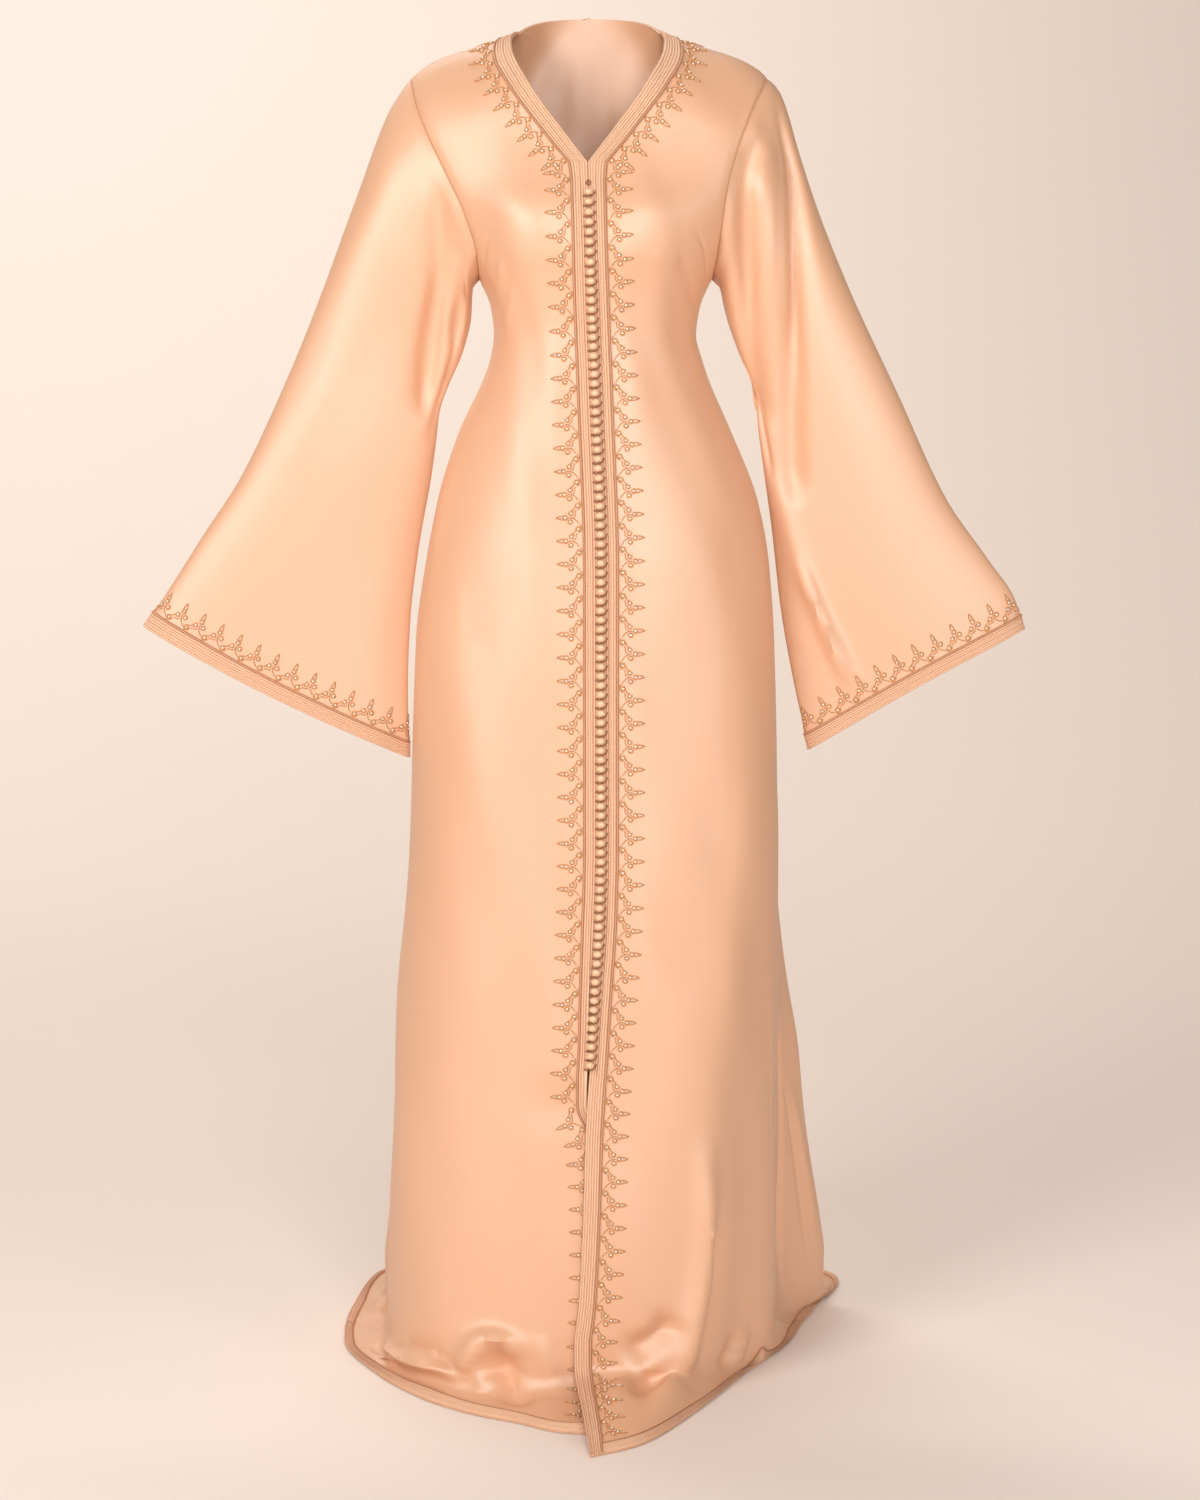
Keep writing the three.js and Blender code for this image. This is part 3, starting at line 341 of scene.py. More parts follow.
def reach(angle, z):
    middle = centre["x"](z)
    return np.where(angle < 0, body["left"](z) + middle, body["right"](z) - middle)


def angle_at(offset, z):
    """Signed angle of the body point that lies at a distance from the centre line."""
    power = body["corner"](z) / 2
    return np.sign(offset) * np.arcsin(np.minimum(1, np.abs(offset) / reach(offset, z)) ** power)


def body_point(angle, z):
    """Point of the body at a height and an angle from the front line, positive to +X."""
    angle, z = np.broadcast_arrays(np.asarray(angle, float), np.asarray(z, float))
    turn = np.abs(angle)
    sign = np.sign(angle)
    power = 2 / body["corner"](z)
    front = turn < math.pi / 2
    from_flare = turn - math.radians(FLARE_MIDDLE)
    flare_width = np.where(from_flare < 0, math.radians(FLARE_FORWARD), math.radians(FLARE_BACKWARD))
    flared = np.where(sign > 0, flare["right"](z), flare["left"](z)) * bell(from_flare, flare_width)
    x = centre["x"](z) + sign * (reach(angle, z) * np.maximum(np.sin(turn), 0) ** power + flared)
    below = np.clip((shoulder_height(np.abs(x)) - z) / np.where(front, FRONT_ROUND, BACK_ROUND), 0, 1)
    deep = np.abs(np.cos(turn)) ** power
    depth = np.where(front, -body["front"](z), body["back"](z)) - body["side"](z)
    y = body["side"](z) + depth * deep * np.sqrt(1 - (1 - below) ** 2)
    bust = bell(np.abs(x - centre["x"](z)) - BUST["x"], BUST["wide"]) * bell(z - BUST["z"], BUST["tall"])
    folds = fold_at(FRONT_FOLDS, x, z) * (1 - ease(*FRONT_FOLD_END, np.degrees(turn)))
    y = y - np.where(front, BUST["out"] * bust * np.cos(turn), 0) - folds
    widening = reach(angle, z) / reach(angle, np.full_like(z, BREAK))
    hanging = 0
    for fold in BACK_FOLDS:
        near = bell(x / widening - fold["x"], fold["width"])
        hanging = hanging + fold["out"] * ease(fold["top"], BREAK, z) * near
    y = y + np.where(front, 0, hanging * deep)
    return np.stack([x, y, z], -1)


def skirt_end(side, angle, step):
    """Point of the skirt below the break, by its step in from the hem, its distance in and its height."""
    angle, step = np.broadcast_arrays(np.asarray(angle, float), np.asarray(step, float))
    start = body_point(angle, np.full(angle.shape, BREAK))
    t = angle * SIGN[side] / math.pi
    end_x, end_y = hem[side]["x"](t), hem[side]["y"](t)
    run = np.hypot(end_x - start[..., 0], end_y - start[..., 1])
    drop = BREAK - SHELL_FLOOR
    rounded = np.minimum(HEM_ROUND, run * HEM_ROUND_SHARE)
    flat = run - rounded
    curved = rounded * math.pi / 2
    marks = [run * 0, BRAID_WIDTH / 2 + run * 0, BRAID_WIDTH + run * 0, (flat + BRAID_WIDTH) / 2, flat]
    marks += [flat + curved / 3, flat + 2 * curved / 3, flat + curved, flat + curved + drop - rounded]
    for k in range(BRAID_COLUMNS + 1, HEM_STEPS):
        marks[k] = np.maximum(marks[k], BRAID_WIDTH + HEM_STEP_LEAST * (k - BRAID_COLUMNS))
    marks = np.stack(marks)
    low = np.clip(np.floor(step).astype(int), 0, HEM_STEPS - 1)
    below = np.take_along_axis(marks, low[None], 0)[0]
    above = np.take_along_axis(marks, low[None] + 1, 0)[0]
    inward = lerp(below, above, step - low)
    turned = np.clip((inward - flat) / rounded, 0, math.pi / 2)
    out = np.where(inward <= flat, run - inward, rounded * (1 - np.sin(turned)))
    up = rounded * (1 - np.cos(turned)) + np.maximum(0, inward - flat - curved)
    heaped = 0
    for heap in HEAPS[side]:
        near = bell(t - heap["t"], heap["width"]) * bell(inward - heap["inward"], heap["deep"])
        heaped = heaped + heap["up"] * near
    up = up + HEM_SLOPE * np.minimum(inward, flat) * (1 - share(0, drop, up))
    along = out / np.maximum(run, 1)
    grounded = 1 - share(0, drop, up)
    x = lerp(start[..., 0], end_x, along)
    y = lerp(start[..., 1], end_y, along)
    z = SHELL_FLOOR + up + heaped * grounded * ease(0, BRAID_WIDTH, inward)
    return np.stack([x, y, z], -1), inward, 1 - grounded


def seam_angle(side, z):
    turn = np.radians(flare["turn"](z)) if side == "right" else 0 * np.asarray(z, float)
    return SIGN[side] * (math.pi / 2 + turn)


def armhole_angle(side, face, z):
    return angle_at(SIGN[side] * armholes[side][face](z) - centre["x"](z), z)


def braid_offset(column, z):
    slope = ease(NECK_TOP, SLANT_FULL, z) * ease(V_BOTTOM - SLANT_BLEND, V_BOTTOM + SLANT_BLEND, z)
    return column * BRAID_STEP * (1 + BRAID_SLANT * slope)


def shoulder_x(side, column):
    tip = ARMHOLES[side][0]["front"]
    beyond = (column - BRAID_COLUMNS) / (FRONT_COLUMNS - BRAID_COLUMNS)
    near = NECK_HALF + column * BRAID_STEP
    return np.where(column <= BRAID_COLUMNS, near, lerp(NECK_HALF + BRAID_WIDTH, tip, beyond))


def shoulder_point(side, column):
    x = shoulder_x(side, column)
    return np.stack([SIGN[side] * x, 0 * x + body["side"](0), shoulder_height(x)], -1)


def level_at(row):
    return np.interp(row, np.arange(ARM_END, BREAK_ROW + 1), [UNDERARM] + SKIRT_LEVELS)


def front_surface(side, rows, cols):
    """A front by row, from the shoulder to the hem, and by column, from the free edge to the side seam."""
    sign = SIGN[side]
    r = np.asarray(rows, float)[:, None]
    c = np.asarray(cols, float)[None, :]
    tip = ARMHOLES[side][0]["z"]
    w = np.clip(r / YOKE_ROWS, 0, 1) ** YOKE_CROWDING
    a = np.clip((r - YOKE_ROWS) / ARM_ROWS, 0, 1)
    level = level_at(r)
    yoke, arm = r <= YOKE_ROWS, r <= ARM_END
    inner = np.where(yoke, lerp(NECK_TOP, V_BOTTOM, w), np.where(arm, lerp(V_BOTTOM, UNDERARM, a), level))
    outer_arm = lerp(V_ROW_OUTER, UNDERARM, np.sin(a * math.pi / 2))
    outer = np.where(yoke, lerp(tip, V_ROW_OUTER, w), np.where(arm, outer_arm, level))
    bowed = np.where(yoke, (1 - w) ** 2, 0)

    def offset(j):
        plain = neck_half(inner) * (inner > V_BOTTOM) + braid_offset(j, inner)
        if side == "right":
            return plain
        folded = centre["off"](inner) + np.maximum(0, j - 1) * BRAID_STEP
        return lerp(plain, folded, centre["turn"](inner)) - centre["lap"](inner)

    on_arm = armhole_angle(side, "front", outer)
    outer_angle = np.abs(lerp(on_arm, seam_angle(side, outer), share(ARM_END - 1, ARM_END, r)))
    first = sign * angle_at(sign * offset(BRAID_COLUMNS), inner)
    g = np.clip((c - BRAID_COLUMNS) / (FRONT_COLUMNS - BRAID_COLUMNS), 0, 1)
    height = shoulder_height(shoulder_x(side, c))
    tip_height = shoulder_height(shoulder_x(side, np.float64(FRONT_COLUMNS)))
    in_braid = c <= BRAID_COLUMNS
    braid_angle = angle_at(sign * offset(c), inner + 0 * c)
    angle = np.where(in_braid, braid_angle, sign * lerp(first, outer_angle, g))
    braid_z = inner + bowed * (height - NECK_TOP)
    z = lerp(inner, outer, g) + bowed * (height - lerp(NECK_TOP, tip_height, g))
    z = np.where(in_braid, braid_z, z)
    points = body_point(angle, z)
    missing = shoulder_point(side, c[0]) - points[0]
    if rows[0] == 0:
        points = points + missing[None] * (np.clip(1 - r, 0, 1) ** 2)[..., None]
    on_floor = r[:, 0] > BREAK_ROW
    if on_floor.any():
        step = LAST_ROW - r[on_floor] + 0 * c
        end, inward, up = skirt_end(side, angle[on_floor], step)
        if side == "right":
            near = 1 - ease(*LAP_SIDE, np.abs(end[..., 0] - end[:, :1, 0]))
            end[..., 2] += LAP_LIFT * near * (1 - up) * ease(*LAP_HEM, inward)
        points[on_floor] = end
    if side == "left":
        edge = points[:, :1, 0] if cols[0] == 0 else front_surface(side, rows, [0])[:, :, 0]
        back_turn = centre["turn"](points[..., 2]) * BRAID_STEP
        points[..., 1] += back_turn * np.clip(1 - c, 0, 1)
        under = ease(SLIT_TOP, SLIT_END, points[..., 2])
        under = under * ease(SHELL_FLOOR, SHELL_FLOOR + LAP_FLOOR, points[..., 2])
        points[..., 1] += LAP_DEPTH * under * (1 - ease(0, LAP_SPREAD, np.abs(points[..., 0] - edge)))
    return points


BACK_COLUMNS = 2 * FRONT_COLUMNS + NECK_COLUMNS


def back_top(c):
    across = lerp(-NECK_HALF, NECK_HALF, np.clip((c - FRONT_COLUMNS) / NECK_COLUMNS, 0, 1))
    z = back_neck_height(np.abs(across))
    offset = angle_at(across - centre["x"](z), z)
    neck = body_point(np.where(offset < 0, -1, 1) * (math.pi - np.abs(offset)), z)
    left = shoulder_point("left", np.clip(FRONT_COLUMNS - c, 0, None))
    right = shoulder_point("right", np.clip(c - BACK_COLUMNS + FRONT_COLUMNS, 0, None))
    on_left, on_right = (c <= FRONT_COLUMNS)[:, None], (c >= BACK_COLUMNS - FRONT_COLUMNS)[:, None]
    return np.where(on_left, left, np.where(on_right, right, neck))


def back_surface(rows, cols):
    """The back by row, from the neck to the hem, and by column, from the left side to the right."""
    r = np.asarray(rows, float)[:, None]
    c = np.asarray(cols, float)[None, :]
    top = back_top(c[0])
    tops = np.abs(angle_at(top[:, 0] - centre["x"](top[:, 2]), top[:, 2]))[None]
    ends = back_top(np.array([0.0, BACK_COLUMNS]))
    edge_tops = np.abs(angle_at(ends[:, 0] - centre["x"](ends[:, 2]), ends[:, 2]))
    is_left = c <= BACK_COLUMNS / 2
    evenly = np.abs(2 * c / BACK_COLUMNS - 1)
    sign = np.where(is_left, -1, 1)
    at_top = tops / np.where(is_left, edge_tops[0], edge_tops[1])

    def outer_at(z, row):
        both = []
        for side in SIGN:
            on_arm = np.abs(armhole_angle(side, "back", z))
            on_side = math.pi - np.abs(seam_angle(side, z))
            both.append(lerp(on_arm, on_side, share(ARM_END - 1, ARM_END, row)))
        return np.where(is_left, both[0], both[1])

    def place(z, w, row):
        return body_point(sign * (math.pi - outer_at(z, row) * lerp(at_top, evenly, w)), z)

    def down_from(distance):
        near = top[None, :, 2] + 0 * distance
        far = near - 2 * distance
        for _ in range(HALVINGS):
            middle = (near + far) / 2
            short = np.linalg.norm(place(middle, 0, 0) - top[None], axis=-1) < distance
            near, far = np.where(short, middle, near), np.where(short, far, middle)
        return near

    braid_end = down_from(np.full((1, c.shape[1]), BRAID_WIDTH))
    k = np.clip((r - BRAID_COLUMNS) / (ARM_END - BRAID_COLUMNS), 0, 1)
    m = 1 - (1 - k) ** BACK_CROWDING
    neck_rows = r[:, 0] < BRAID_COLUMNS
    z = np.where(r <= ARM_END, lerp(braid_end, UNDERARM, m), level_at(r))
    if neck_rows.any():
        z[neck_rows] = down_from(r[neck_rows] * BRAID_STEP + 0 * c)
    w = np.where(r <= ARM_END, m, 1)
    points = place(z, w, r)
    if rows[0] == 0:
        points[0] = top
    on_floor = r[:, 0] > BREAK_ROW
    if on_floor.any():
        step = LAST_ROW - r[on_floor] + 0 * c
        ends = []
        for side in SIGN:
            seam = math.pi - abs(float(seam_angle(side, BREAK)))
            angle = SIGN[side] * (math.pi - seam * evenly) + 0 * step
            ends.append(skirt_end(side, angle, step)[0])
        points[on_floor] = np.where(is_left[..., None], ends[0], ends[1])
    return points


RING = 2 * ARM_END
SLEEVE_END = SLEEVE_ROWS + BRAID_COLUMNS


def sleeve_surface(side, rows, places):
    """A sleeve by row, from the armhole to the cuff, and by place round it from the shoulder tip."""
    sleeve = SLEEVES[side]
    upper, under = sleeve["upper"], sleeve["under"]
    upper_x, under_x = through(upper, "z", "x"), through(under, "z", "x")
    places = np.asarray(places, float)
    front_rows = places[places <= ARM_END]
    back_rows = (RING - places[places > ARM_END])[::-1]
    front = front_surface(side, np.concatenate([[0], front_rows]), [FRONT_COLUMNS])[1:, 0]
    back_edge = [0] if side == "left" else [BACK_COLUMNS]
    back = back_surface(np.concatenate([[0], back_rows]), back_edge)[1:, 0][::-1]
    ring = np.concatenate([front, back])
    theta = math.tau * places / RING
    w = (1 - np.cos(theta)) / 2

    def form_at(u):
        upper_z = lerp(upper[0]["z"], upper[-1]["z"], u)
        under_z = lerp(under[0]["z"], under[-1]["z"], u)
        start = np.stack([upper_x(upper_z), upper_z], -1)
        end = np.stack([under_x(under_z), under_z], -1)
        place = start + (end - start) * w[..., None]
        across = unit(end - start)
        is_front = theta < math.pi
        bow = np.where(is_front, sleeve["front_hem"], sleeve["back_hem"])
        bow = bow * ease(HEM_BOW_START, 1, u) * np.sin(math.pi * w)
        place = place - np.stack([-across[..., 1], across[..., 0]], -1) * bow[..., None]
        depth = np.sin(theta) * lerp(sleeve_depth["upper"](u), sleeve_depth["under"](u), w)
        y = sleeve_depth["middle"](u) - depth
        folded = fold_at(sleeve["folds"], place[..., 0], place[..., 1]) * np.sqrt(np.abs(np.sin(theta)))
        y = y - np.where(is_front, folded, 0)
        return np.stack([SIGN[side] * place[..., 0], y, place[..., 1]], -1)

    zero = np.zeros((1, len(places)))
    shift = ring[None] - form_at(zero)
    trim = BRAID_WIDTH / np.linalg.norm(ring[None] - form_at(zero + 1), axis=-1)
    r = np.asarray(rows, float)[:, None]
    plain = lerp(SLEEVE_CROWN, 1 - trim, share(1, SLEEVE_ROWS, r))
    u = np.where(r <= 1, SLEEVE_CROWN * r, plain)
    u = np.where(r > SLEEVE_ROWS, 1 - trim * (SLEEVE_END - r) / BRAID_COLUMNS, u)
    return form_at(u) + shift * sleeve_depth["seam"](u)[..., None]


# Fine rows and columns
def steps(spans):
    """Places from a list of (start, end, count), each span split evenly."""
    parts = [np.linspace(start, end, count, endpoint=False) for start, end, count in spans]
    return np.concatenate(parts + [[spans[-1][1]]])


ROW_LENGTH = 7.0
HEM_ROW_LENGTH = 4.0
HEM_ROWS_BELOW = -1200.0
BRAID_FINE = 12
YOKE_FINE = 45
FLOOR_FINE = 26
PANEL_FINE = 58
NECK_FINE = 20
CROWN_FINE = 2
SLEEVE_FINE = 80


def skirt_spans():
    levels = [UNDERARM] + SKIRT_LEVELS
    for i, (high, low) in enumerate(zip(levels, levels[1:])):
        length = HEM_ROW_LENGTH if low < HEM_ROWS_BELOW else ROW_LENGTH
        yield (ARM_END + i, ARM_END + i + 1, math.ceil((high - low) / length))


PANEL_ROWS = steps(
    [(0, BRAID_COLUMNS, BRAID_FINE), (BRAID_COLUMNS, ARM_END, YOKE_FINE)]
    + list(skirt_spans())
    + [(BREAK_ROW, LAST_ROW - BRAID_COLUMNS, FLOOR_FINE), (LAST_ROW - BRAID_COLUMNS, LAST_ROW, BRAID_FINE)]
)
FRONT_PLACES = steps([(0, BRAID_COLUMNS, BRAID_FINE), (BRAID_COLUMNS, FRONT_COLUMNS, PANEL_FINE)])
NECK_PLACES = (FRONT_COLUMNS, FRONT_COLUMNS + NECK_COLUMNS, NECK_FINE)
BACK_PLACES = np.concatenate([
    FRONT_COLUMNS - FRONT_PLACES[::-1],
    steps([NECK_PLACES])[1:-1],
    BACK_COLUMNS - FRONT_COLUMNS + FRONT_PLACES,
])
ARM_PLACES = PANEL_ROWS[PANEL_ROWS <= ARM_END]
RING_PLACES = np.concatenate([ARM_PLACES, RING - ARM_PLACES[::-1][1:-1]])
SLEEVE_SPANS = [(0, 1, CROWN_FINE), (1, SLEEVE_ROWS, SLEEVE_FINE), (SLEEVE_ROWS, SLEEVE_END, BRAID_FINE)]
SLEEVE_PLACES = steps(SLEEVE_SPANS)
TINY = 1e-9
SAME_PLACE = 0.02
SHARP_ANGLE = 50
BRAID_SHARP_ANGLE = 75


def normals_of(points, wrap, flip):
    along = np.gradient(points, axis=0)
    if wrap:
        across = np.roll(points, -1, axis=1) - np.roll(points, 1, axis=1)
    else:
        across = np.gradient(points, axis=1)
    normal = np.cross(along, across)
    normal /= np.maximum(np.linalg.norm(normal, axis=-1, keepdims=True), TINY)
    return -normal if flip else normal


def seam_keys(points):
    return [tuple(key) for key in np.round(points / SAME_PLACE).astype(int).tolist()]


def edge_index(piece):
    """Numbers of the points on a piece's edges."""
    rows, cols = piece["points"].shape[:2]
    index = numbered(rows, cols)
    edges = [index[0], index[-1]]
    if not piece["wrap"]:
        edges += [index[:, 0], index[:, -1]]
    return np.unique(np.concatenate(edges))


def mitre(pieces):
    """Edge points that pieces share take one mitred direction."""
    shared = {}
    for piece in pieces:
        flat = piece["normals"].reshape(-1, 3)
        index = edge_index(piece)
        for i, key in zip(index, seam_keys(piece["points"].reshape(-1, 3)[index])):
            shared.setdefault(key, []).append((flat, i))
        piece["seam"] = np.zeros(len(flat), bool)
        piece["flat_normals"] = flat
    for uses in shared.values():
        if len(uses) < 2:
            continue
        own = np.array([flat[i] for flat, i in uses])
        middle = own.sum(0)
        middle /= max(np.linalg.norm(middle), TINY)
        middle /= max((own @ middle).min(), MITRE_LEAST)
        for flat, i in uses:
            flat[i] = middle
            for piece in pieces:
                if piece["flat_normals"] is flat:
                    piece["seam"][i] = True


def add_object(name, data):
    made = bpy.data.objects.new(name, data)
    bpy.context.scene.collection.objects.link(made)
    return made


def make_mesh(name, points, faces, material, uv=None, sharp=SHARP_ANGLE):
    mesh = bpy.data.meshes.new(name)
    mesh.from_pydata((np.asarray(points) * MM).tolist(), [], [list(map(int, face)) for face in faces])
    mesh.update()
    mesh.shade_smooth()
    if sharp:
        mesh.set_sharp_from_angle(angle=math.radians(sharp))
    if uv is not None:
        layer = mesh.uv_layers.new(name="cloth")
        loops = np.empty(len(mesh.loops), np.int64)
        mesh.loops.foreach_get("vertex_index", loops)
        layer.data.foreach_set("uv", (np.asarray(uv) * MM)[loops].astype(np.float32).ravel())
    made = add_object(name, mesh)
    mesh.materials.append(material)
    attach(made, "root")
    return made


def arc_lengths(points, axis):
    lengths = np.linalg.norm(np.diff(points, axis=axis), axis=-1)
    start = np.zeros_like(np.take(lengths, [0], axis))
    return np.cumsum(np.concatenate([start, lengths], axis), axis)


def grid_faces(rows, cols, wrap, flip, start=0):
    index = numbered(rows, cols, start)
    right = np.roll(index, -1, 1) if wrap else index[:, 1:]
    left = index if wrap else index[:, :-1]
    faces = quads(left[:-1], left[1:], right[1:], right[:-1])
    return faces[:, ::-1] if flip else faces


def shell(piece, outer, inner):
    """Points, faces and cloth coordinates of a closed shell between two grids."""
    rows, cols = outer.shape[:2]
    wrap, flip = piece["wrap"], piece["flip"]
    count = rows * cols
    faces = [grid_faces(rows, cols, wrap, flip), grid_faces(rows, cols, wrap, not flip, count)]
    index = numbered(rows, cols)
    if wrap:
        borders = [np.append(index[0], index[0, 0])[::-1], np.append(index[-1], index[-1, 0])]
    else:
        loop = [index[:, 0], index[-1, 1:], index[-2::-1, -1], index[0, -2::-1]]
        borders = [np.concatenate(loop)]
    for border in borders:
        a, b = border[:-1], border[1:]
        rim = quads(a, a + count, b + count, b)
        faces.append(rim[:, ::-1] if flip else rim)
    return np.concatenate([outer.reshape(-1, 3), inner.reshape(-1, 3)]), np.concatenate(faces)


def cloth_uv(points):
    across = arc_lengths(points, 1)
    along = arc_lengths(points, 0)
    middle = across[:, across.shape[1] // 2][:, None]
    return np.stack([across - middle, along], -1).reshape(-1, 2)


def cloth_piece(points, wrap, flip):
    return {"points": points, "wrap": wrap, "flip": flip, "normals": normals_of(points, wrap, flip)}


PIECES = {}
for side in SIGN:
    points = front_surface(side, PANEL_ROWS, FRONT_PLACES)
    PIECES["front_" + side] = cloth_piece(points, False, side == "left")
PIECES["back"] = cloth_piece(back_surface(PANEL_ROWS, BACK_PLACES), False, True)
for side in SIGN:
    points = sleeve_surface(side, SLEEVE_PLACES, RING_PLACES)
    PIECES["sleeve_" + side] = cloth_piece(points, True, side == "right")
mitre(list(PIECES.values()))


# The camera that sees the photograph's frame, in millimetres and degrees
CAMERA_X = 11.0
CAMERA_Y = -3000.0
CAMERA_Z = -415.0
CAMERA_DOWN = 6.7
CAMERA_LENS = 64.8
CAMERA_SENSOR = 36
CAMERA_REACH = 50
FRAME_WIDE = 1200
FRAME_HIGH = 1500
PIXELS = CAMERA_LENS / CAMERA_SENSOR * FRAME_HIGH

# Creases seen from the front: half width, height out, and line in points of the frame
CREASES = {
    "front_left": table("width out line", [
        (2.4, -1.8, [(492, 229), (486, 250), (485, 271)]),
        (5, -3, [(471, 229), (476, 254), (482, 276)]),
        (5, 2.4, [(502, 254), (501, 283), (497, 304), (493, 318)]),
        (5, 2, [(515, 283), (512, 304), (505, 326)]),
        (4, -1.6, [(466, 398), (478, 395), (492, 394)]),
        (9, 17, [(385, 1340), (396, 1353), (420, 1361), (442, 1370), (464, 1380)]),
        (10, -7, [(398, 1345), (418, 1349), (440, 1357), (458, 1367)]),
        (14, -15, [(372, 1345), (392, 1369), (416, 1383), (445, 1394), (474, 1401)]),
        (11, 15, [(463, 1384), (467, 1364), (474, 1350), (484, 1340), (498, 1338), (512, 1345),
         (524, 1360)]),
        (14, -16, [(488, 1356), (499, 1362), (507, 1373), (513, 1388), (524, 1408)]),
        (9, 6, [(478, 1366), (482, 1378), (487, 1392)]),
        (9, 6, [(536, 1335), (549, 1366), (558, 1398)]),
    ]),
    "front_right": table("width out line", [
        (2.4, -1.8, [(692, 226), (699, 238), (704, 251), (706, 265), (706, 279)]),
        (6, -2.6, [(679, 251), (684, 269), (690, 287), (695, 310)]),
        (14, 12, [(706, 1130), (706, 1210), (702, 1280), (696, 1328), (689, 1357), (677, 1379),
         (654, 1399)]),
        (15, -12, [(722, 1200), (716, 1290), (708, 1336), (698, 1366), (678, 1390)]),
        (13, -15, [(678, 1316), (657, 1336), (641, 1349), (630, 1362)]),
        (11, 8, [(674, 1344), (646, 1369), (621, 1386), (603, 1411)]),
        (11, -10, [(666, 1370), (647, 1383), (634, 1396)]),
        (7, 7, [(747, 1326), (740, 1347), (734, 1366)]),
        (7, -8, [(734, 1334), (729, 1353), (721, 1368)]),
        (3, 2.2, [(771, 960), (772, 1060), (772, 1180), (771, 1290)]),
    ]),
    "back": table("width out line", [
        (8, -9, [(777, 1000), (779, 1100), (780, 1200), (781, 1290)]),
        (3, -2.2, [(779, 1062), (788, 1120), (797, 1180), (804, 1232), (810, 1278)]),
        (7, 4, [(786, 1072), (797, 1130), (808, 1190), (817, 1250)]),
    ]),
    "sleeve_left": table("width out line", [
        (9, -6, [(441, 260), (434, 306), (430, 352), (425, 389), (421, 424)]),
        (7, -5, [(462, 283), (455, 352), (441, 398), (426, 450)]),
        (4, -3, [(463, 262), (465, 275), (468, 302)]),
        (24, 3.5, [(402, 140), (372, 260), (330, 380), (286, 480)]),
    ]),
    "sleeve_right": table("width out line", [
        (9, -5, [(770, 120), (757, 150), (749, 176), (747, 221), (750, 288), (754, 330)]),
        (6, -5, [(769, 84), (781, 122), (790, 160), (793, 202), (793, 259), (795, 325), (800, 400)]),
        (3.5, 2.4, [(775, 110), (784, 158), (785, 202), (785, 259), (787, 330)]),
        (3, 1.6, [(771, 180), (770, 250), (772, 300)]),
        (5, -4, [(751, 376), (764, 435), (773, 484)]),
        (7, 5, [(796, 556), (835, 652), (852, 686)]),
        (22, 3.5, [(830, 190), (872, 300), (920, 420), (962, 500)]),
    ]),
}

# Creases where the front view doesn't reach: the same, with the line in millimetres
HIDDEN_CREASES = {
    "back": table("width out line", [
        (7, -3, [(-104, 60, -196), (-98, 66, -250), (-84, 64, -300)]),
        (7, -3, [(112, 62, -200), (104, 66, -252), (90, 64, -304)]),
        (6, 2.4, [(-62, 66, -262), (-50, 62, -312), (-48, 72, -352)]),
        (6, 2.4, [(66, 66, -270), (56, 62, -316), (52, 72, -356)]),
        (5, -2, [(-96, 62, -330), (-40, 72, -338), (10, 66, -334)]),
        (5, -2, [(100, 60, -344), (60, 70, -350), (24, 72, -347)]),
        (9, 7, [(-150, 180, -1330), (-160, 205, -1400), (-172, 262, -1448)]),
        (9, -7, [(-92, 190, -1340), (-98, 212, -1410), (-106, 268, -1449)]),
        (10, 8, [(-20, 190, -1350), (-24, 214, -1415), (-12, 270, -1448)]),
        (9, -7, [(40, 190, -1336), (44, 212, -1404), (58, 266, -1449)]),
        (10, 8, [(112, 190, -1344), (122, 214, -1410), (140, 268, -1448)]),
        (9, -6, [(186, 176, -1330), (200, 200, -1402), (222, 244, -1448)]),
        (8, 6, [(-216, 60, -1352), (-236, 66, -1420), (-262, 76, -1449)]),
    ]),
    "sleeve_left": table("width out line", [
        (8, -5, [(-196, 50, -150), (-182, 46, -236), (-190, 36, -330), (-206, 30, -410)]),
        (9, 4, [(-236, 40, -190), (-262, 34, -320), (-318, 26, -470)]),
    ]),
    "sleeve_right": table("width out line", [
        (8, -5, [(196, 50, -150), (188, 46, -236), (198, 36, -330), (214, 30, -420)]),
        (9, 4, [(240, 40, -190), (268, 34, -320), (322, 26, -470)]),
    ]),
}

# Slow unevenness of the cloth: waves in one round, wave length down, height, start of the wave
WAVES = table("round down out start", [
    (6, 540, 0.9, 0.4),
    (10, 330, 0.6, 2.1),
    (15, 207, 0.35, 4.0),
    (-8, 268, 0.5, 1.2),
])


def camera_ray(px, py):
    """Where a point of the frame is looked at from, and its direction."""
    down = math.radians(CAMERA_DOWN)
    across = (px - FRAME_WIDE / 2) / PIXELS
    below = (FRAME_HIGH / 2 - py) / PIXELS
    ahead = math.cos(down) + below * math.sin(down)
    rise = below * math.cos(down) - math.sin(down)
    return Vector((CAMERA_X, CAMERA_Y, CAMERA_Z)), Vector((across, ahead, rise)).normalized()


def tree_of(piece):
    points = piece["points"]
    faces = grid_faces(*points.shape[:2], piece["wrap"], piece["flip"])
    return BVHTree.FromPolygons(points.reshape(-1, 3).tolist(), faces.tolist())


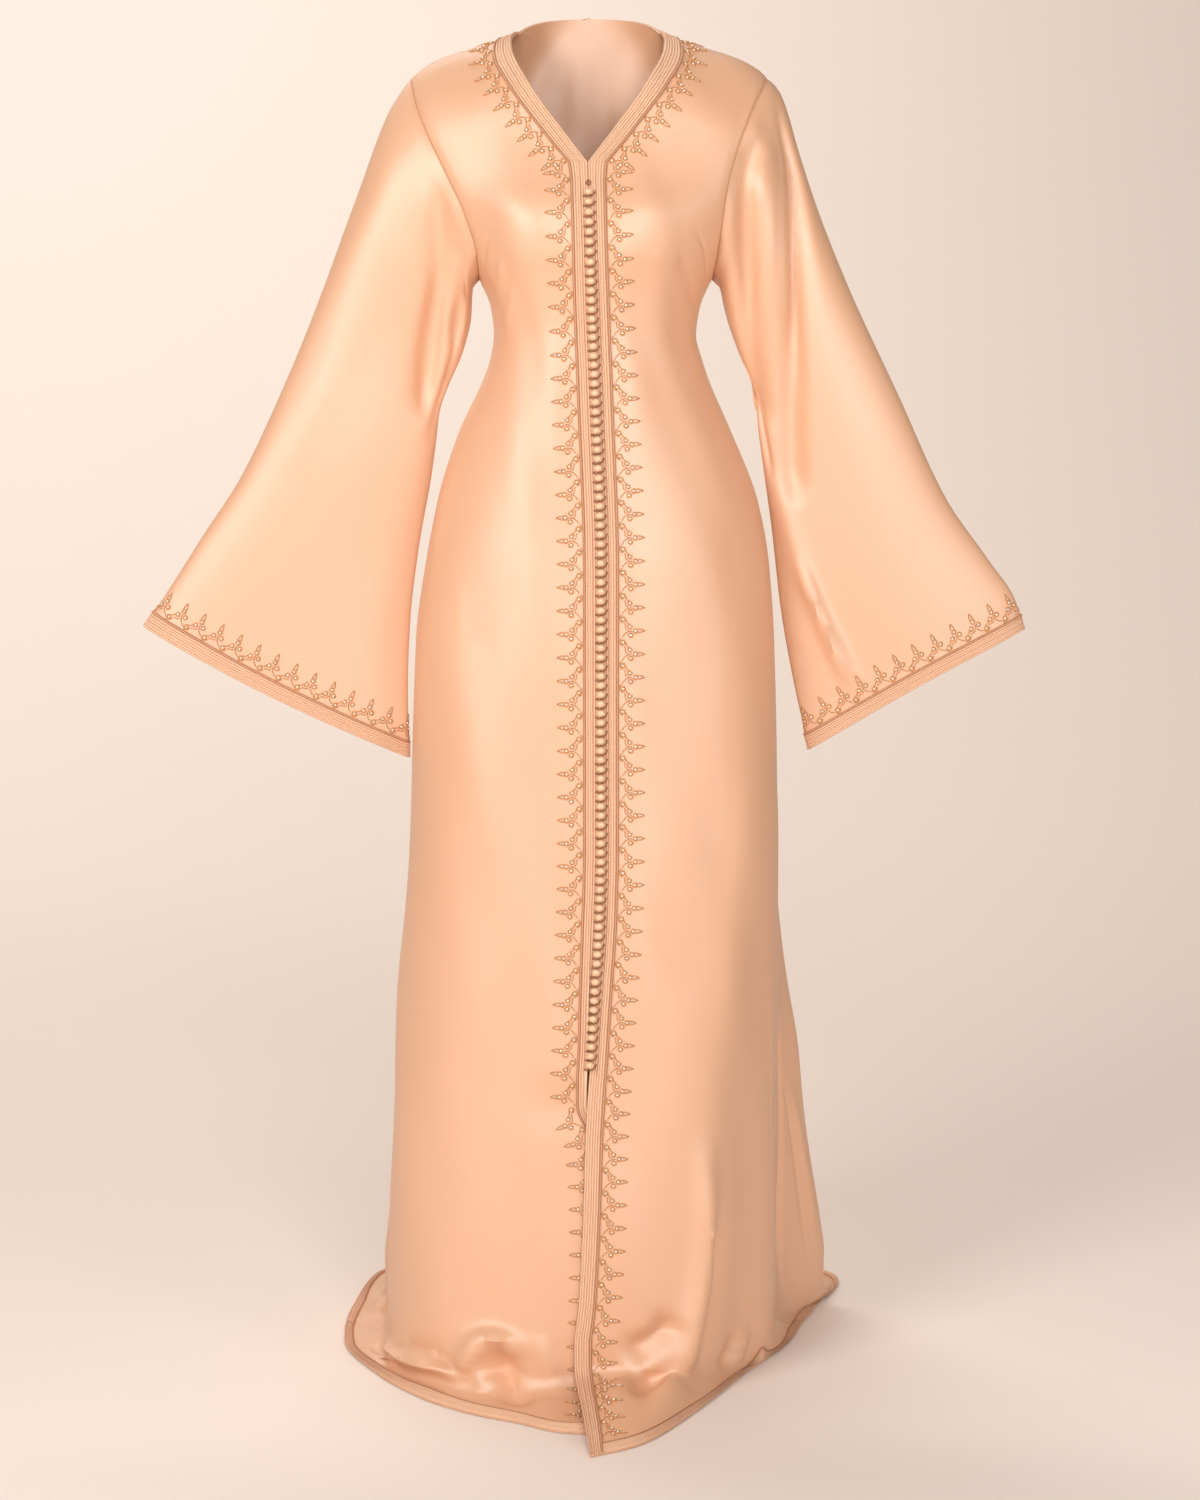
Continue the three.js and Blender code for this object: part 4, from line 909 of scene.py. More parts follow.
def line_distance(points, line):
    """Distance of each point to a line, and how far along the line its nearest place is."""
    line = np.array(line, float)
    lengths = np.linalg.norm(np.diff(line, axis=0), axis=1)
    starts = np.concatenate([[0], np.cumsum(lengths)])
    best = np.full(points.shape[:-1], np.inf)
    place = np.zeros(points.shape[:-1])
    for a, b, length, start in zip(line, line[1:], lengths, starts):
        t = np.clip(((points - a) @ (b - a)) / length**2, 0, 1)
        distance = np.linalg.norm(points - a - t[..., None] * (b - a), axis=-1)
        closer = distance < best
        best = np.where(closer, distance, best)
        place = np.where(closer, start + t * length, place)
    return best, place / starts[-1]


ROUNDING = 6


def smooth_line(line, count=ROUNDING):
    """A rounder line through the same points."""
    line = np.array(line, float)
    if len(line) < 3:
        return line
    ends = np.concatenate([[2 * line[0] - line[1]], line, [2 * line[-1] - line[-2]]])
    made = []
    for p, a, b, q in zip(ends, ends[1:], ends[2:], ends[3:]):
        for t in np.linspace(0, 1, count, endpoint=False):
            squared, cubed = 2 * p - 5 * a + 4 * b - q, 3 * a - p - 3 * b + q
            made.append(0.5 * (2 * a + (b - p) * t + squared * t**2 + cubed * t**3))
    return np.array(made + [line[-1]])


def relief(name, piece):
    """How far each point of a piece stands out of its plain form."""
    points = piece["points"]
    tree = tree_of(piece)
    out = np.zeros(points.shape[:2])
    for crease in CREASES[name]:
        line = []
        for px, py in crease["line"]:
            place = tree.ray_cast(*camera_ray(px, py))[0]
            if place is not None:
                line.append(place)
        if len(line) > 1:
            out += crease_height(points, smooth_line(line), crease)
    for crease in HIDDEN_CREASES.get(name, []):
        line = [tree.find_nearest(Vector(place))[0] for place in crease["line"]]
        out += crease_height(points, smooth_line(line), crease)
    turn = np.arctan2(points[..., 1], points[..., 0]) / (math.tau)
    for wave in WAVES:
        phase = turn * wave["round"] + points[..., 2] / wave["down"]
        out += wave["out"] * np.sin(math.tau * phase + wave["start"])
    return out


# A crease dies out slowly towards its ends, a share of it only at the very ends, and its width swells
SLOW_END = 0.3
QUICK_END = 0.08
SLOW_SHARE = 0.85
SWELL = 0.18
SWELL_TURNS = 9


def ends_faded(place, length):
    return ease(0, length, place) * ease(1, 1 - length, place)


def crease_height(points, line, crease):
    distance, place = line_distance(points, line)
    taper = SLOW_SHARE * ends_faded(place, SLOW_END) + (1 - SLOW_SHARE) * ends_faded(place, QUICK_END)
    uneven = 1 + SWELL * np.sin(SWELL_TURNS * place + crease["width"])
    return crease["out"] * taper * bell(distance, crease["width"] * uneven)


def edge_fade(piece, name):
    """Distances of each point from the sewn edges and from the free edges of its piece."""
    points = piece["points"]
    across, along = arc_lengths(points, 1), arc_lengths(points, 0)
    from_left, from_right = across, across[:, -1:] - across
    from_top, from_end = along, along[-1:] - along
    if piece["wrap"]:
        return from_top, from_end
    if name == "back":
        neck = (BACK_PLACES > FRONT_COLUMNS) & (BACK_PLACES < BACK_COLUMNS - FRONT_COLUMNS)
        seams = np.minimum(np.minimum(from_left, from_right), np.where(neck[None], np.inf, from_top))
        return seams, np.minimum(from_end, np.where(neck[None], from_top, np.inf))
    return np.minimum(from_right, from_top), np.minimum(from_left, from_end)


SEAM_FADE = 14.0
FREE_FADE = (BRAID_WIDTH - 4, BRAID_WIDTH + 26)


def shape_piece(name, piece):
    """Lays the creases and waves on a piece, and dips it at its seams."""
    seam, free = edge_fade(piece, name)
    raised = relief(name, piece) * ease(0, SEAM_FADE, seam) * ease(*FREE_FADE, free)
    floor_room = piece["points"][..., 2] - SHELL_FLOOR
    raised = np.maximum(raised, -np.maximum(floor_room, 0))
    raised -= SEAM_DIP * bell(seam, SEAM_REACH)
    kept = piece["flat_normals"].reshape(piece["points"].shape)
    piece["points"] = piece["points"] + kept * raised[..., None]
    sewn = piece["seam"].reshape(raised.shape)
    fresh = normals_of(piece["points"], piece["wrap"], piece["flip"])
    piece["normals"] = np.where(sewn[..., None], kept, fresh)


# Materials
def put(tree, made, settings):
    """Settings of a shader node: a socket is linked, anything else is a value."""
    for name, value in settings.items():
        if isinstance(value, bpy.types.NodeSocket):
            tree.links.new(value, made.inputs[name])
        elif isinstance(name, str) and hasattr(made, name):
            setattr(made, name, value)
        else:
            made.inputs[name].default_value = value


def node(tree, kind, output, settings):
    made = tree.nodes.new("ShaderNode" + kind)
    put(tree, made, settings)
    return made.outputs[output]


def noise(tree, place, settings):
    return node(tree, "TexNoise", "Fac", {"Vector": place, **settings})


def mixed(tree, factor, dark, light):
    tones = {"A": (*dark, 1), "B": (*light, 1)}
    return node(tree, "Mix", "Result", {"data_type": "RGBA", "Factor": factor, **tones})


def math_node(tree, operation, first, second=0.0):
    return node(tree, "Math", 0, {"operation": operation, 0: first, 1: second})


def bumped(tree, height, distance, strength):
    return node(tree, "Bump", "Normal", {"Strength": strength, "Distance": distance, "Height": height})


def new_material(name, color, settings):
    """A material with its tree, its shader and the object and cloth coordinates."""
    made = bpy.data.materials.new(name)
    made.use_nodes = True
    tree = made.node_tree
    shader = tree.nodes["Principled BSDF"]
    put(tree, shader, {"Base Color": (*color, 1), **settings})
    places = tree.nodes.new("ShaderNodeTexCoord").outputs
    return made, tree, shader, places["Object"], places["UV"]


SATIN_COLOR = (0.735, 0.40, 0.235)
SATIN_TONES = (0.695, 0.372, 0.212), (0.765, 0.43, 0.258)
SATIN_SHEEN = {
    "Roughness": 0.46, "Metallic": 0.0, "Specular IOR Level": 1.0, "IOR": 1.6, "Anisotropic": 0.35,
    "Sheen Weight": 0.03, "Sheen Roughness": 0.4, "Sheen Tint": (1.0, 0.86, 0.74, 1),
}
SATIN_ROUGHNESS = {"To Min": 0.40, "To Max": 0.50}
CLOUDS = {"Scale": 2.6, "Detail": 2.0, "Roughness": 0.5}
WEFT = {
    "wave_type": "BANDS", "bands_direction": "Y", "Scale": 520.0, "Distortion": 1.2, "Detail": 1.0,
    "Detail Scale": 3.0,
}
SLUBS = {"Scale": 60.0, "Detail": 3.0, "Roughness": 0.6}
SLUB_STRETCH = (0.35, 5.0, 1)
WEAVE_BUMP = (0.00006, 0.5)


def satin_material():
    made, tree, shader, place, cloth = new_material("satin", SATIN_COLOR, SATIN_SHEEN)
    stretched = node(tree, "Mapping", "Vector", {"Vector": cloth, "Scale": SLUB_STRETCH})
    slubs = noise(tree, stretched, SLUBS)
    weft = node(tree, "TexWave", "Fac", {"Vector": cloth, **WEFT})
    put(tree, shader, {
        "Base Color": mixed(tree, noise(tree, place, CLOUDS), *SATIN_TONES),
        "Roughness": node(tree, "MapRange", "Result", {"Value": slubs, **SATIN_ROUGHNESS}),
        "Normal": bumped(tree, math_node(tree, "ADD", weft, slubs), *WEAVE_BUMP),
    })
    return made


# Heights of the cords and ribs across a braided trim, from the free edge, all of one width
RIB_HEIGHTS = [1.5, 1.2, 1.0, 1.4, 1.1, 1.3, 1.8]
RIB_WIDTH = BRAID_WIDTH / len(RIB_HEIGHTS)
THREAD_PITCH = 2.3
THREAD_LEAN = 0.9
GROOVE_DEPTH = -1.5
# Painted shade: share of the rib and thread height that darkens the braid's colour in its grooves, and the
# range of that darkening with the speckles
GROOVE_SHADE_SHARE = 0.2
GROOVE_SHADE_RANGE = {"From Min": -0.05, "From Max": 0.72}
SPECKLES = {"Scale": 900.0, "Detail": 1.0}
BRAID_BUMP = (0.0003, 0.8)
CORD_GLOSS = 0.3
BRAID_SHEEN = {"Roughness": 0.5, "Metallic": 0.1, "Specular IOR Level": CORD_GLOSS}


def braid_material(name, light, dark):
    """Braid of slanted threads that turn at each rib, from the strip's own across and along places; its
    colour is darkened as painted shade in the grooves between ribs and between threads.
    """
    made, tree, shader, _, cloth = new_material(name, light, BRAID_SHEEN)
    across, along = (node(tree, "SeparateXYZ", axis, {"Vector": cloth}) for axis in "XY")
    zigzag = math_node(tree, "PINGPONG", across, RIB_WIDTH * MM)
    slanted = math_node(tree, "ADD", along, math_node(tree, "MULTIPLY", zigzag, THREAD_LEAN))
    turns = math_node(tree, "MULTIPLY", slanted, math.tau / (THREAD_PITCH * MM))
    ribs = math_node(tree, "MULTIPLY", across, math.tau / (RIB_WIDTH * MM))
    grooves = math_node(tree, "MULTIPLY", math_node(tree, "COSINE", ribs), GROOVE_DEPTH)
    height = math_node(tree, "ADD", math_node(tree, "SINE", turns), grooves)
    # Painted shade: the colour darkens where the height is low, in the grooves between ribs and threads
    painted_groove_shade = math_node(tree, "MULTIPLY", height, GROOVE_SHADE_SHARE)
    tone = math_node(tree, "ADD", painted_groove_shade, noise(tree, cloth, SPECKLES))
    lit = node(tree, "MapRange", "Result", {"Value": tone, **GROOVE_SHADE_RANGE})
    put(tree, shader, {
        "Base Color": mixed(tree, lit, dark, light), "Normal": bumped(tree, height, *BRAID_BUMP),
    })
    return made


FIBRES = {"Scale": 700.0, "Detail": 2.0}
FIBRE_BUMP = (0.0002, 0.5)


def thread_material(name, light, dark, metallic, roughness):
    sheen = {"Roughness": roughness, "Metallic": metallic, "Specular IOR Level": CORD_GLOSS}
    made, tree, shader, place, _ = new_material(name, light, sheen)
    fibres = noise(tree, place, FIBRES)
    put(tree, shader, {
        "Base Color": mixed(tree, fibres, dark, light), "Normal": bumped(tree, fibres, *FIBRE_BUMP),
    })
    return made


SPOTS = {"Scale": 160.0, "Detail": 0.0}
SPOT_SHADE = 0.7


def bead_material(name, color, metallic, roughness):
    sheen = {"Roughness": roughness, "Metallic": metallic}
    made, tree, shader, place, _ = new_material(name, color, sheen)
    shade = tuple(SPOT_SHADE * value for value in color)
    put(tree, shader, {"Base Color": mixed(tree, noise(tree, place, SPOTS), shade, color)})
    return made


SATIN = satin_material()
BRAID = braid_material("braid", (1.0, 0.66, 0.45), (0.66, 0.33, 0.19))
EDGE_CORD = braid_material("edge_cord", (0.78, 0.42, 0.25), (0.34, 0.14, 0.065))
KNOT_CORD = thread_material("knot_cord", (0.96, 0.64, 0.43), (0.66, 0.37, 0.22), 0.1, 0.35)
# Dark loop cord: its darkness is partly the cord's own colour and partly painted shade under each knot
LOOP_CORD_AND_SHADE = thread_material("loop_cord_and_shade", (0.36, 0.15, 0.07), (0.20, 0.075, 0.03), 0.0, 0.7)
THREAD = thread_material("thread", (0.78, 0.37, 0.135), (0.45, 0.185, 0.06), 0.15, 0.4)
BEAD = bead_material("bead", (1.0, 0.84, 0.66), 0.05, 0.2)
CRYSTAL = bead_material("crystal", (0.96, 0.92, 0.90), 0.3, 0.08)

for name, piece in PIECES.items():
    shape_piece(name, piece)
    points, normals = piece["points"], piece["normals"]
    verts, faces = shell(piece, points + normals * CLOTH / 2, points - normals * CLOTH / 2)
    made = make_mesh("satin_" + name, verts, faces, SATIN, np.tile(cloth_uv(points), (2, 1)))
    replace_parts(made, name)

RIB_SAMPLES = 6
BRAID_SOLE = 0.25
BRAID_CLEAR = 0.2
RIB_GROOVE = 0.2


def braid_section():
    """Places across a trim and its height at each, rising and falling over every rib."""
    across, high = [0.0], [BRAID_SOLE]
    for place, height in enumerate(RIB_HEIGHTS):
        for k in range(1, RIB_SAMPLES + 1):
            t = k / RIB_SAMPLES
            across.append((place + t) * RIB_WIDTH)
            high.append(BRAID_SOLE + height * math.sqrt(max(RIB_GROOVE, 1 - (2 * t - 1) ** 2)))
    return np.array(across), np.array(high)


def strip(name, points, normals, wrap):
    """A braided strip on a grid whose rows run along it and whose columns go in from its free edge."""
    across, high = braid_section()
    place = across / BRAID_WIDTH * (points.shape[1] - 1)
    low = np.clip(np.floor(place).astype(int), 0, points.shape[1] - 2)
    t = (place - low)[None, :, None]
    base = points[:, low] * (1 - t) + points[:, low + 1] * t
    lean = normals[:, low] * (1 - t) + normals[:, low + 1] * t
    top = base + lean * (CLOTH / 2 + BRAID_BASE / 2 + high)[None, :, None]
    sole = base + lean * (CLOTH / 2 + BRAID_CLEAR)
    rows, cols = top.shape[:2]
    index, lower = numbered(rows, cols), numbered(rows, 2, rows * cols)
    if wrap:
        index, lower = np.vstack([index, index[:1]]), np.vstack([lower, lower[:1]])
    upper_faces = quads(index[:-1, :-1], index[1:, :-1], index[1:, 1:], index[:-1, 1:])
    faces = np.concatenate([
        upper_faces,
        quads(lower[:-1, 0], lower[1:, 0], index[1:, 0], index[:-1, 0]),
        quads(index[:-1, -1], index[1:, -1], lower[1:, 1], lower[:-1, 1]),
        quads(lower[:-1, 1], lower[1:, 1], lower[1:, 0], lower[:-1, 0]),
    ])
    middle = rows // 2
    turned = np.cross(top[middle + 1, 1] - top[middle, 1], top[middle, 2] - top[middle, 1])
    inwards = turned @ normals[middle, 0] < 0
    if inwards:
        faces = faces[:, ::-1]
    faces = faces.tolist()
    if not wrap:
        for row, back in ((0, False), (-1, True)):
            cap = [int(lower[row, 1]), int(lower[row, 0])] + index[row].tolist()
            faces.append(cap if inwards == back else cap[::-1])
    length = arc_lengths(base[:, cols // 2], 0)
    uv = np.stack(np.broadcast_arrays(across[None], length[:, None]), -1).reshape(-1, 2)
    uv_low = np.stack([np.tile([0, BRAID_WIDTH], rows), np.repeat(length, 2)], -1)
    verts = np.concatenate([top.reshape(-1, 3), sole[:, [0, -1]].reshape(-1, 3)])
    uv = np.concatenate([uv, uv_low])
    made = make_mesh("braid_" + name, verts, faces, BRAID, uv, BRAID_SHARP_ANGLE)
    made.data.materials.append(EDGE_CORD)
    is_edge = np.zeros(len(faces), bool)
    per_row = cols - 1
    in_cord = np.arange(per_row) >= per_row - RIB_SAMPLES
    is_edge[: len(upper_faces)] = np.tile(in_cord, len(upper_faces) // per_row)
    made.data.polygons.foreach_set("material_index", is_edge.astype(np.int32))
    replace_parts(made, name)


def trim(name, piece, rows, cols, turned=True, wrap=False):
    """A strip on some rows and columns of a piece, turned where it runs along the rows."""
    grids = [piece[key][rows, cols] for key in ("points", "normals")]
    strip(name, *[grid.swapaxes(0, 1) if turned else grid for grid in grids], wrap)


EVERY = slice(None)
FIRST_FEW = slice(BRAID_FINE + 1)
LAST_FEW = slice(-1, -BRAID_FINE - 2, -1)
for side in SIGN:
    front = PIECES["front_" + side]
    trim("front_trim_" + side, front, EVERY, FIRST_FEW, turned=False)
    trim("hem_trim_" + side, front, LAST_FEW, slice(BRAID_FINE, None))
    trim("cuff_trim_" + side, PIECES["sleeve_" + side], LAST_FEW, EVERY, wrap=True)
back_piece = PIECES["back"]
from_middle = np.abs(BACK_PLACES - BACK_COLUMNS / 2)
trim("neck_trim_back", back_piece, FIRST_FEW, from_middle <= NECK_COLUMNS / 2 + BRAID_COLUMNS)
trim("hem_trim_back", back_piece, LAST_FEW, EVERY)


# Small solids in a local frame of (along, out, height)
def tube(path, radius, sides, closed=False):
    """A round cord along a path, with its ends capped or joined."""
    path = np.array(path, float)
    ahead = np.roll(path, -1, 0) - np.roll(path, 1, 0) if closed else np.gradient(path, axis=0)
    ahead = unit(ahead)
    aside = unit(np.cross(ahead, (0, 0, 1)))
    up = np.cross(aside, ahead)
    turn = math.tau * np.arange(sides) / sides
    ring = np.cos(turn)[None, :, None] * aside[:, None] + np.sin(turn)[None, :, None] * up[:, None]
    points = path[:, None] + ring * radius
    index = numbered(len(path), sides)
    if closed:
        index = np.vstack([index, index[:1]])
    right = np.roll(index, -1, 1)
    faces = quads(index[:-1], index[1:], right[1:], right[:-1]).tolist()
    if not closed:
        faces += [index[0].tolist(), index[-1][::-1].tolist()]
    return points.reshape(-1, 3), faces


def ball(middle, radii, around, levels, swell=None):
    """A ball whose poles lie across its second axis, with its surface moved by swell(turn, rise)."""
    rise = math.pi * (np.arange(levels) + 0.5) / levels
    turn = math.tau * np.arange(around) / around
    rise, turn = rise[:, None], turn[None]
    size = 1 + (swell(turn, rise) if swell else 0 * turn * rise)
    form = np.stack([np.sin(rise) * np.cos(turn), np.cos(rise) + 0 * turn, np.sin(rise) * np.sin(turn)], -1)
    points = np.array(middle) + form * size[..., None] * np.array(radii)
    index = numbered(levels, around)
    right = np.roll(index, -1, 1)
    faces = quads(index[:-1], right[:-1], right[1:], index[1:]).tolist()
    return points.reshape(-1, 3), faces + [index[0][::-1].tolist(), index[-1].tolist()]


THREAD_RADIUS = 0.55
VINE_RADIUS = 0.5
RING_RADIUS = 2.7
RING_NARROWS = 0.25
RING_POINTS = 15
RING_SIDES = 5
VINE_SIDES = 4
VINE_ROUNDING = 3


def coil(ring):
    """A ring of thread that winds a little inwards."""
    t = np.linspace(0, 1, RING_POINTS)
    angle = ring["start"] + math.tau * ring["turns"] * t
    radius = RING_RADIUS * (1 - RING_NARROWS * t)
    along, out = ring["along"] + radius * np.cos(angle), ring["out"] + radius * np.sin(angle)
    return tube(np.stack([along, out, THREAD_RADIUS + 0 * t], -1), THREAD_RADIUS, RING_SIDES)


def vine(line):
    path = smooth_line(line, VINE_ROUNDING)
    return tube(np.column_stack([path, np.full(len(path), VINE_RADIUS)]), VINE_RADIUS, VINE_SIDES)


class Heap:
    """Many small solids joined in one mesh, each with the number of its material."""

    def __init__(self):
        self.points, self.faces, self.kinds, self.count = [], [], [], 0

    def put(self, solid, kind, flipped=False):
        points, faces = solid
        self.points.append(np.asarray(points, float))
        self.faces += [[i + self.count for i in (face[::-1] if flipped else face)] for face in faces]
        self.kinds += [kind] * len(faces)
        self.count += len(points)

    def made(self, name, materials, slot):
        piece = make_mesh(name, np.concatenate(self.points), self.faces, materials[0], None, 0)
        for material in materials[1:]:
            piece.data.materials.append(material)
        piece.data.polygons.foreach_set("material_index", np.array(self.kinds, np.int32))
        return piece


RING_BEAD = {"radii": (1.45, 1.45, 1.1), "around": 8, "levels": 4}
RING_BEAD_HEIGHT = 0.8
SMALL_BEAD = {"radii": (0.8, 0.8, 0.8), "around": 6, "levels": 3}
SMALL_BEAD_HEIGHT = 0.9
THREAD_KIND, BEAD_KIND, CRYSTAL_KIND = 0, 1, 2

# One repeat of the embroidery, in millimetres along the trim and out from it
COILS = table("along out turns start", [
    (4.3, 11.6, 1.3, -1.2),
    (-4.7, 12.6, 1.3, 1.4),
    (-0.3, 17.8, 1.25, 2.6),
    (12.2, 4.4, 1.35, -2.4),
])
VINES = [
    [(1.7, 20.4), (1.5, 23.6), (-0.2, 28.0)],
    [(-2.3, 20.4), (-1.9, 23.6), (-0.2, 28.0)],
    [(-0.4, 15.6), (-0.8, 10.6), (-3.2, 6.4), (-7.4, 3.2), (-10.2, 0.9)],
    [(-0.8, 10.6), (2.6, 7.0), (7.0, 6.6), (9.8, 2.2), (13.8, 0.9)],
    [(6.4, 12.2), (8.8, 8.4), (12.2, 7.2), (15.0, 5.6)],
]
SMALL_BEADS = [(-0.4, 8.8), (0.2, 14.8), (-0.3, 21.6), (-0.2, 24.4), (8.0, 5.2), (-7.2, 3.0), (6.6, 13.0)]

# A crystal takes the place of one ring's bead in seven, and of one small bead in nine
MOTIF_KINDS = 7
RING_SHIFT = 3
SMALL_KINDS = 9


def motif(turn):
    solids = []
    for place, ring in enumerate(COILS):
        solids.append((coil(ring), THREAD_KIND))
        kind = CRYSTAL_KIND if (turn * RING_SHIFT + place) % MOTIF_KINDS == 0 else BEAD_KIND
        solids.append((ball((ring["along"], ring["out"], RING_BEAD_HEIGHT), **RING_BEAD), kind))
    solids += [(vine(line), THREAD_KIND) for line in VINES]
    for place, spot in enumerate(SMALL_BEADS):
        kind = CRYSTAL_KIND if (turn + place) % SMALL_KINDS == 0 else BEAD_KIND
        solids.append((ball((*spot, SMALL_BEAD_HEIGHT), **SMALL_BEAD), kind))
    return solids


MOTIFS = [motif(turn) for turn in range(MOTIF_KINDS)]


def lengths_along(line):
    return np.concatenate([[0], np.cumsum(np.linalg.norm(np.diff(line, axis=0), axis=1))])


STEP_ALONG = 6.0


def at_lengths(at, lengths, line):
    return np.stack([np.interp(at, lengths, line[:, k]) for k in range(3)], -1)


def places_along(line, closed, spans):
    """Even places in each span (start, end, pitch) of a line: point and direction at each."""
    line = np.concatenate([line, line[:1]]) if closed else line
    lengths = lengths_along(line)
    at = []
    for start, end, pitch in spans:
        count = round((end - start) / pitch)
        at.append(start + (end - start) * (np.arange(count) + 0.5) / count)
    at = np.concatenate(at)
    before, point, after = (at_lengths(at + step, lengths, line) for step in (-STEP_ALONG, 0, STEP_ALONG))
    return point, unit(after - before)


def on_cloth(tree, local, point, ahead, outward):
    """Points of the local frame laid on the cloth."""
    flat = point + local[:, :1] * ahead + local[:, 1:2] * outward
    laid = np.empty_like(flat)
    for i, place in enumerate(flat):
        near, normal = tree.find_nearest(Vector(place))[:2]
        laid[i] = np.array(near) + np.array(normal) * (CLOTH / 2 + local[i, 2])
    return laid


def embroider(name, piece, line, closed, away, spans, backwards):
    """Lays the repeats along a line, their tips turned to the side where the points away from it lie."""
    heap = Heap()
    tree = tree_of(piece)
    points, aheads = places_along(line, closed, spans)
    for turn, (point, ahead) in enumerate(zip(points, aheads)):
        if backwards:
            ahead = -ahead
        normal = np.array(tree.find_nearest(Vector(point))[1])
        outward = unit(np.cross(normal, ahead))
        nearest = away[np.argmin(np.linalg.norm(away - point, axis=1))]
        if outward @ (nearest - point) < 0:
            outward = -outward
        flipped = np.cross(ahead, outward) @ normal < 0
        for (local, faces), kind in MOTIFS[turn % MOTIF_KINDS]:
            heap.put((on_cloth(tree, local, point, ahead, outward), faces), kind, flipped)
    return heap.made(name, [THREAD, BEAD, CRYSTAL], "cord")


NECK_END = -150.0
NECK_PITCH = 21.0
FRONT_PITCH = 24.8
CUFF_PITCH = 23.0
LINE_START = 2.0
LINE_END = BRAID_WIDTH + 8
AWAY = BRAID_FINE + 6
for side in SIGN:
    front, sleeve = PIECES["front_" + side], PIECES["sleeve_" + side]
    line, away = front["points"][:, BRAID_FINE], front["points"][:, AWAY]
    lengths = lengths_along(line)
    bend = np.interp(-NECK_END, -line[:, 2], lengths)
    spans = [(LINE_START, bend, NECK_PITCH), (bend, lengths[-1] - LINE_END, FRONT_PITCH)]
    embroider("embroidery_front_" + side, front, line, False, away, spans, True)
    line, away = sleeve["points"][-1 - BRAID_FINE], sleeve["points"][-1 - AWAY]
    spans = [(0, lengths_along(np.concatenate([line, line[:1]]))[-1], CUFF_PITCH)]
    embroider("embroidery_cuff_" + side, sleeve, line, True, away, spans, side == "left")
span = from_middle <= NECK_COLUMNS / 2
line, away = back_piece["points"][BRAID_FINE][span], back_piece["points"][AWAY][span]
spans = [(LINE_START, lengths_along(line)[-1] - LINE_START, NECK_PITCH)]
embroider("embroidery_neck_back", back_piece, line, False, away, spans, False)

# Ball knots down the meeting line, each held by a dark loop that comes round it from the right; the loop's
# dark colour is partly the cord's own and partly painted shade under and beside each knot
KNOT_COUNT = 94
KNOTS_PER_GROUP = 8
FIRST_KNOT = -166.0
LAST_KNOT = -1090.0
BRAID_GAP = 0.35
BRAID_THICK = 1.2
KNOT_GAP = 0.5
KNOT_HALF = 3.7
ON_BRAID = WALL / 2 + BRAID_GAP + BRAID_THICK + KNOT_GAP + KNOT_HALF
KNOT = {"radii": (4.6, 3.9, 3.6), "around": 18, "levels": 11}
KNOT_RAISED = 0.8
KNOT_STRANDS = 5
KNOT_TWIST = 3.2
KNOT_CROSSINGS = 0.055
KNOT_GROOVES = 0.04
LOOP = [
    (6.9, 1.8, -2.4), (6.0, -0.8, -0.8), (4.0, -3.3, 0.4), (0.2, -4.5, 0.8), (-3.4, -4.2, 0.2),
    (-5.4, -2.9, -1.2),
]
LOOP_RADIUS = 0.7
LOOP_ROUNDING = 2
CORD_SIDES = 6
LOOP_END = (-4.9, -3.9, -0.6)
LOOP_KNOT = {"radii": (1.5, 1.2, 1.2), "around": 7, "levels": 4}
TOP_LOOP = [(0, 6.5, -3), (-2.1, 3.4, -3), (-1.2, 0.4, -3), (1.2, 0.4, -3), (2.1, 3.4, -3)]
TOP_LOOP_RADIUS = 0.8
TOP_LOOP_RAISED = 9
KNOT_KIND, LOOP_AND_SHADE_KIND = 0, 1


def knot_frame(z):
    """Middle of the knot at a height, and its directions across, up and out."""
    front = PIECES["front_right"]
    upwards = np.flatnonzero(PANEL_ROWS >= YOKE_ROWS)[::-1]
    edge, normals = front["points"][upwards, 0], front["normals"][upwards, 0]
    at, out = at_lengths(z, edge[:, 2], edge), unit(at_lengths(z, edge[:, 2], normals))
    across = unit(np.cross((0, 0, 1), -out))
    across = across if across[0] > 0 else -across
    return at + out * ON_BRAID, across, np.cross(out, across), out


def knot_swell(turn, rise):
    """Strands that cross on a knot's surface."""
    crossings = KNOT_CROSSINGS * np.sin(KNOT_STRANDS * turn + KNOT_TWIST * rise) * np.sin(rise)
    return crossings + KNOT_GROOVES * np.cos(KNOT_STRANDS * turn - KNOT_TWIST * rise)


def in_frame(solid, knot):
    (at, *axes), (local, faces) = knot, solid
    return at + local @ np.array(axes), faces


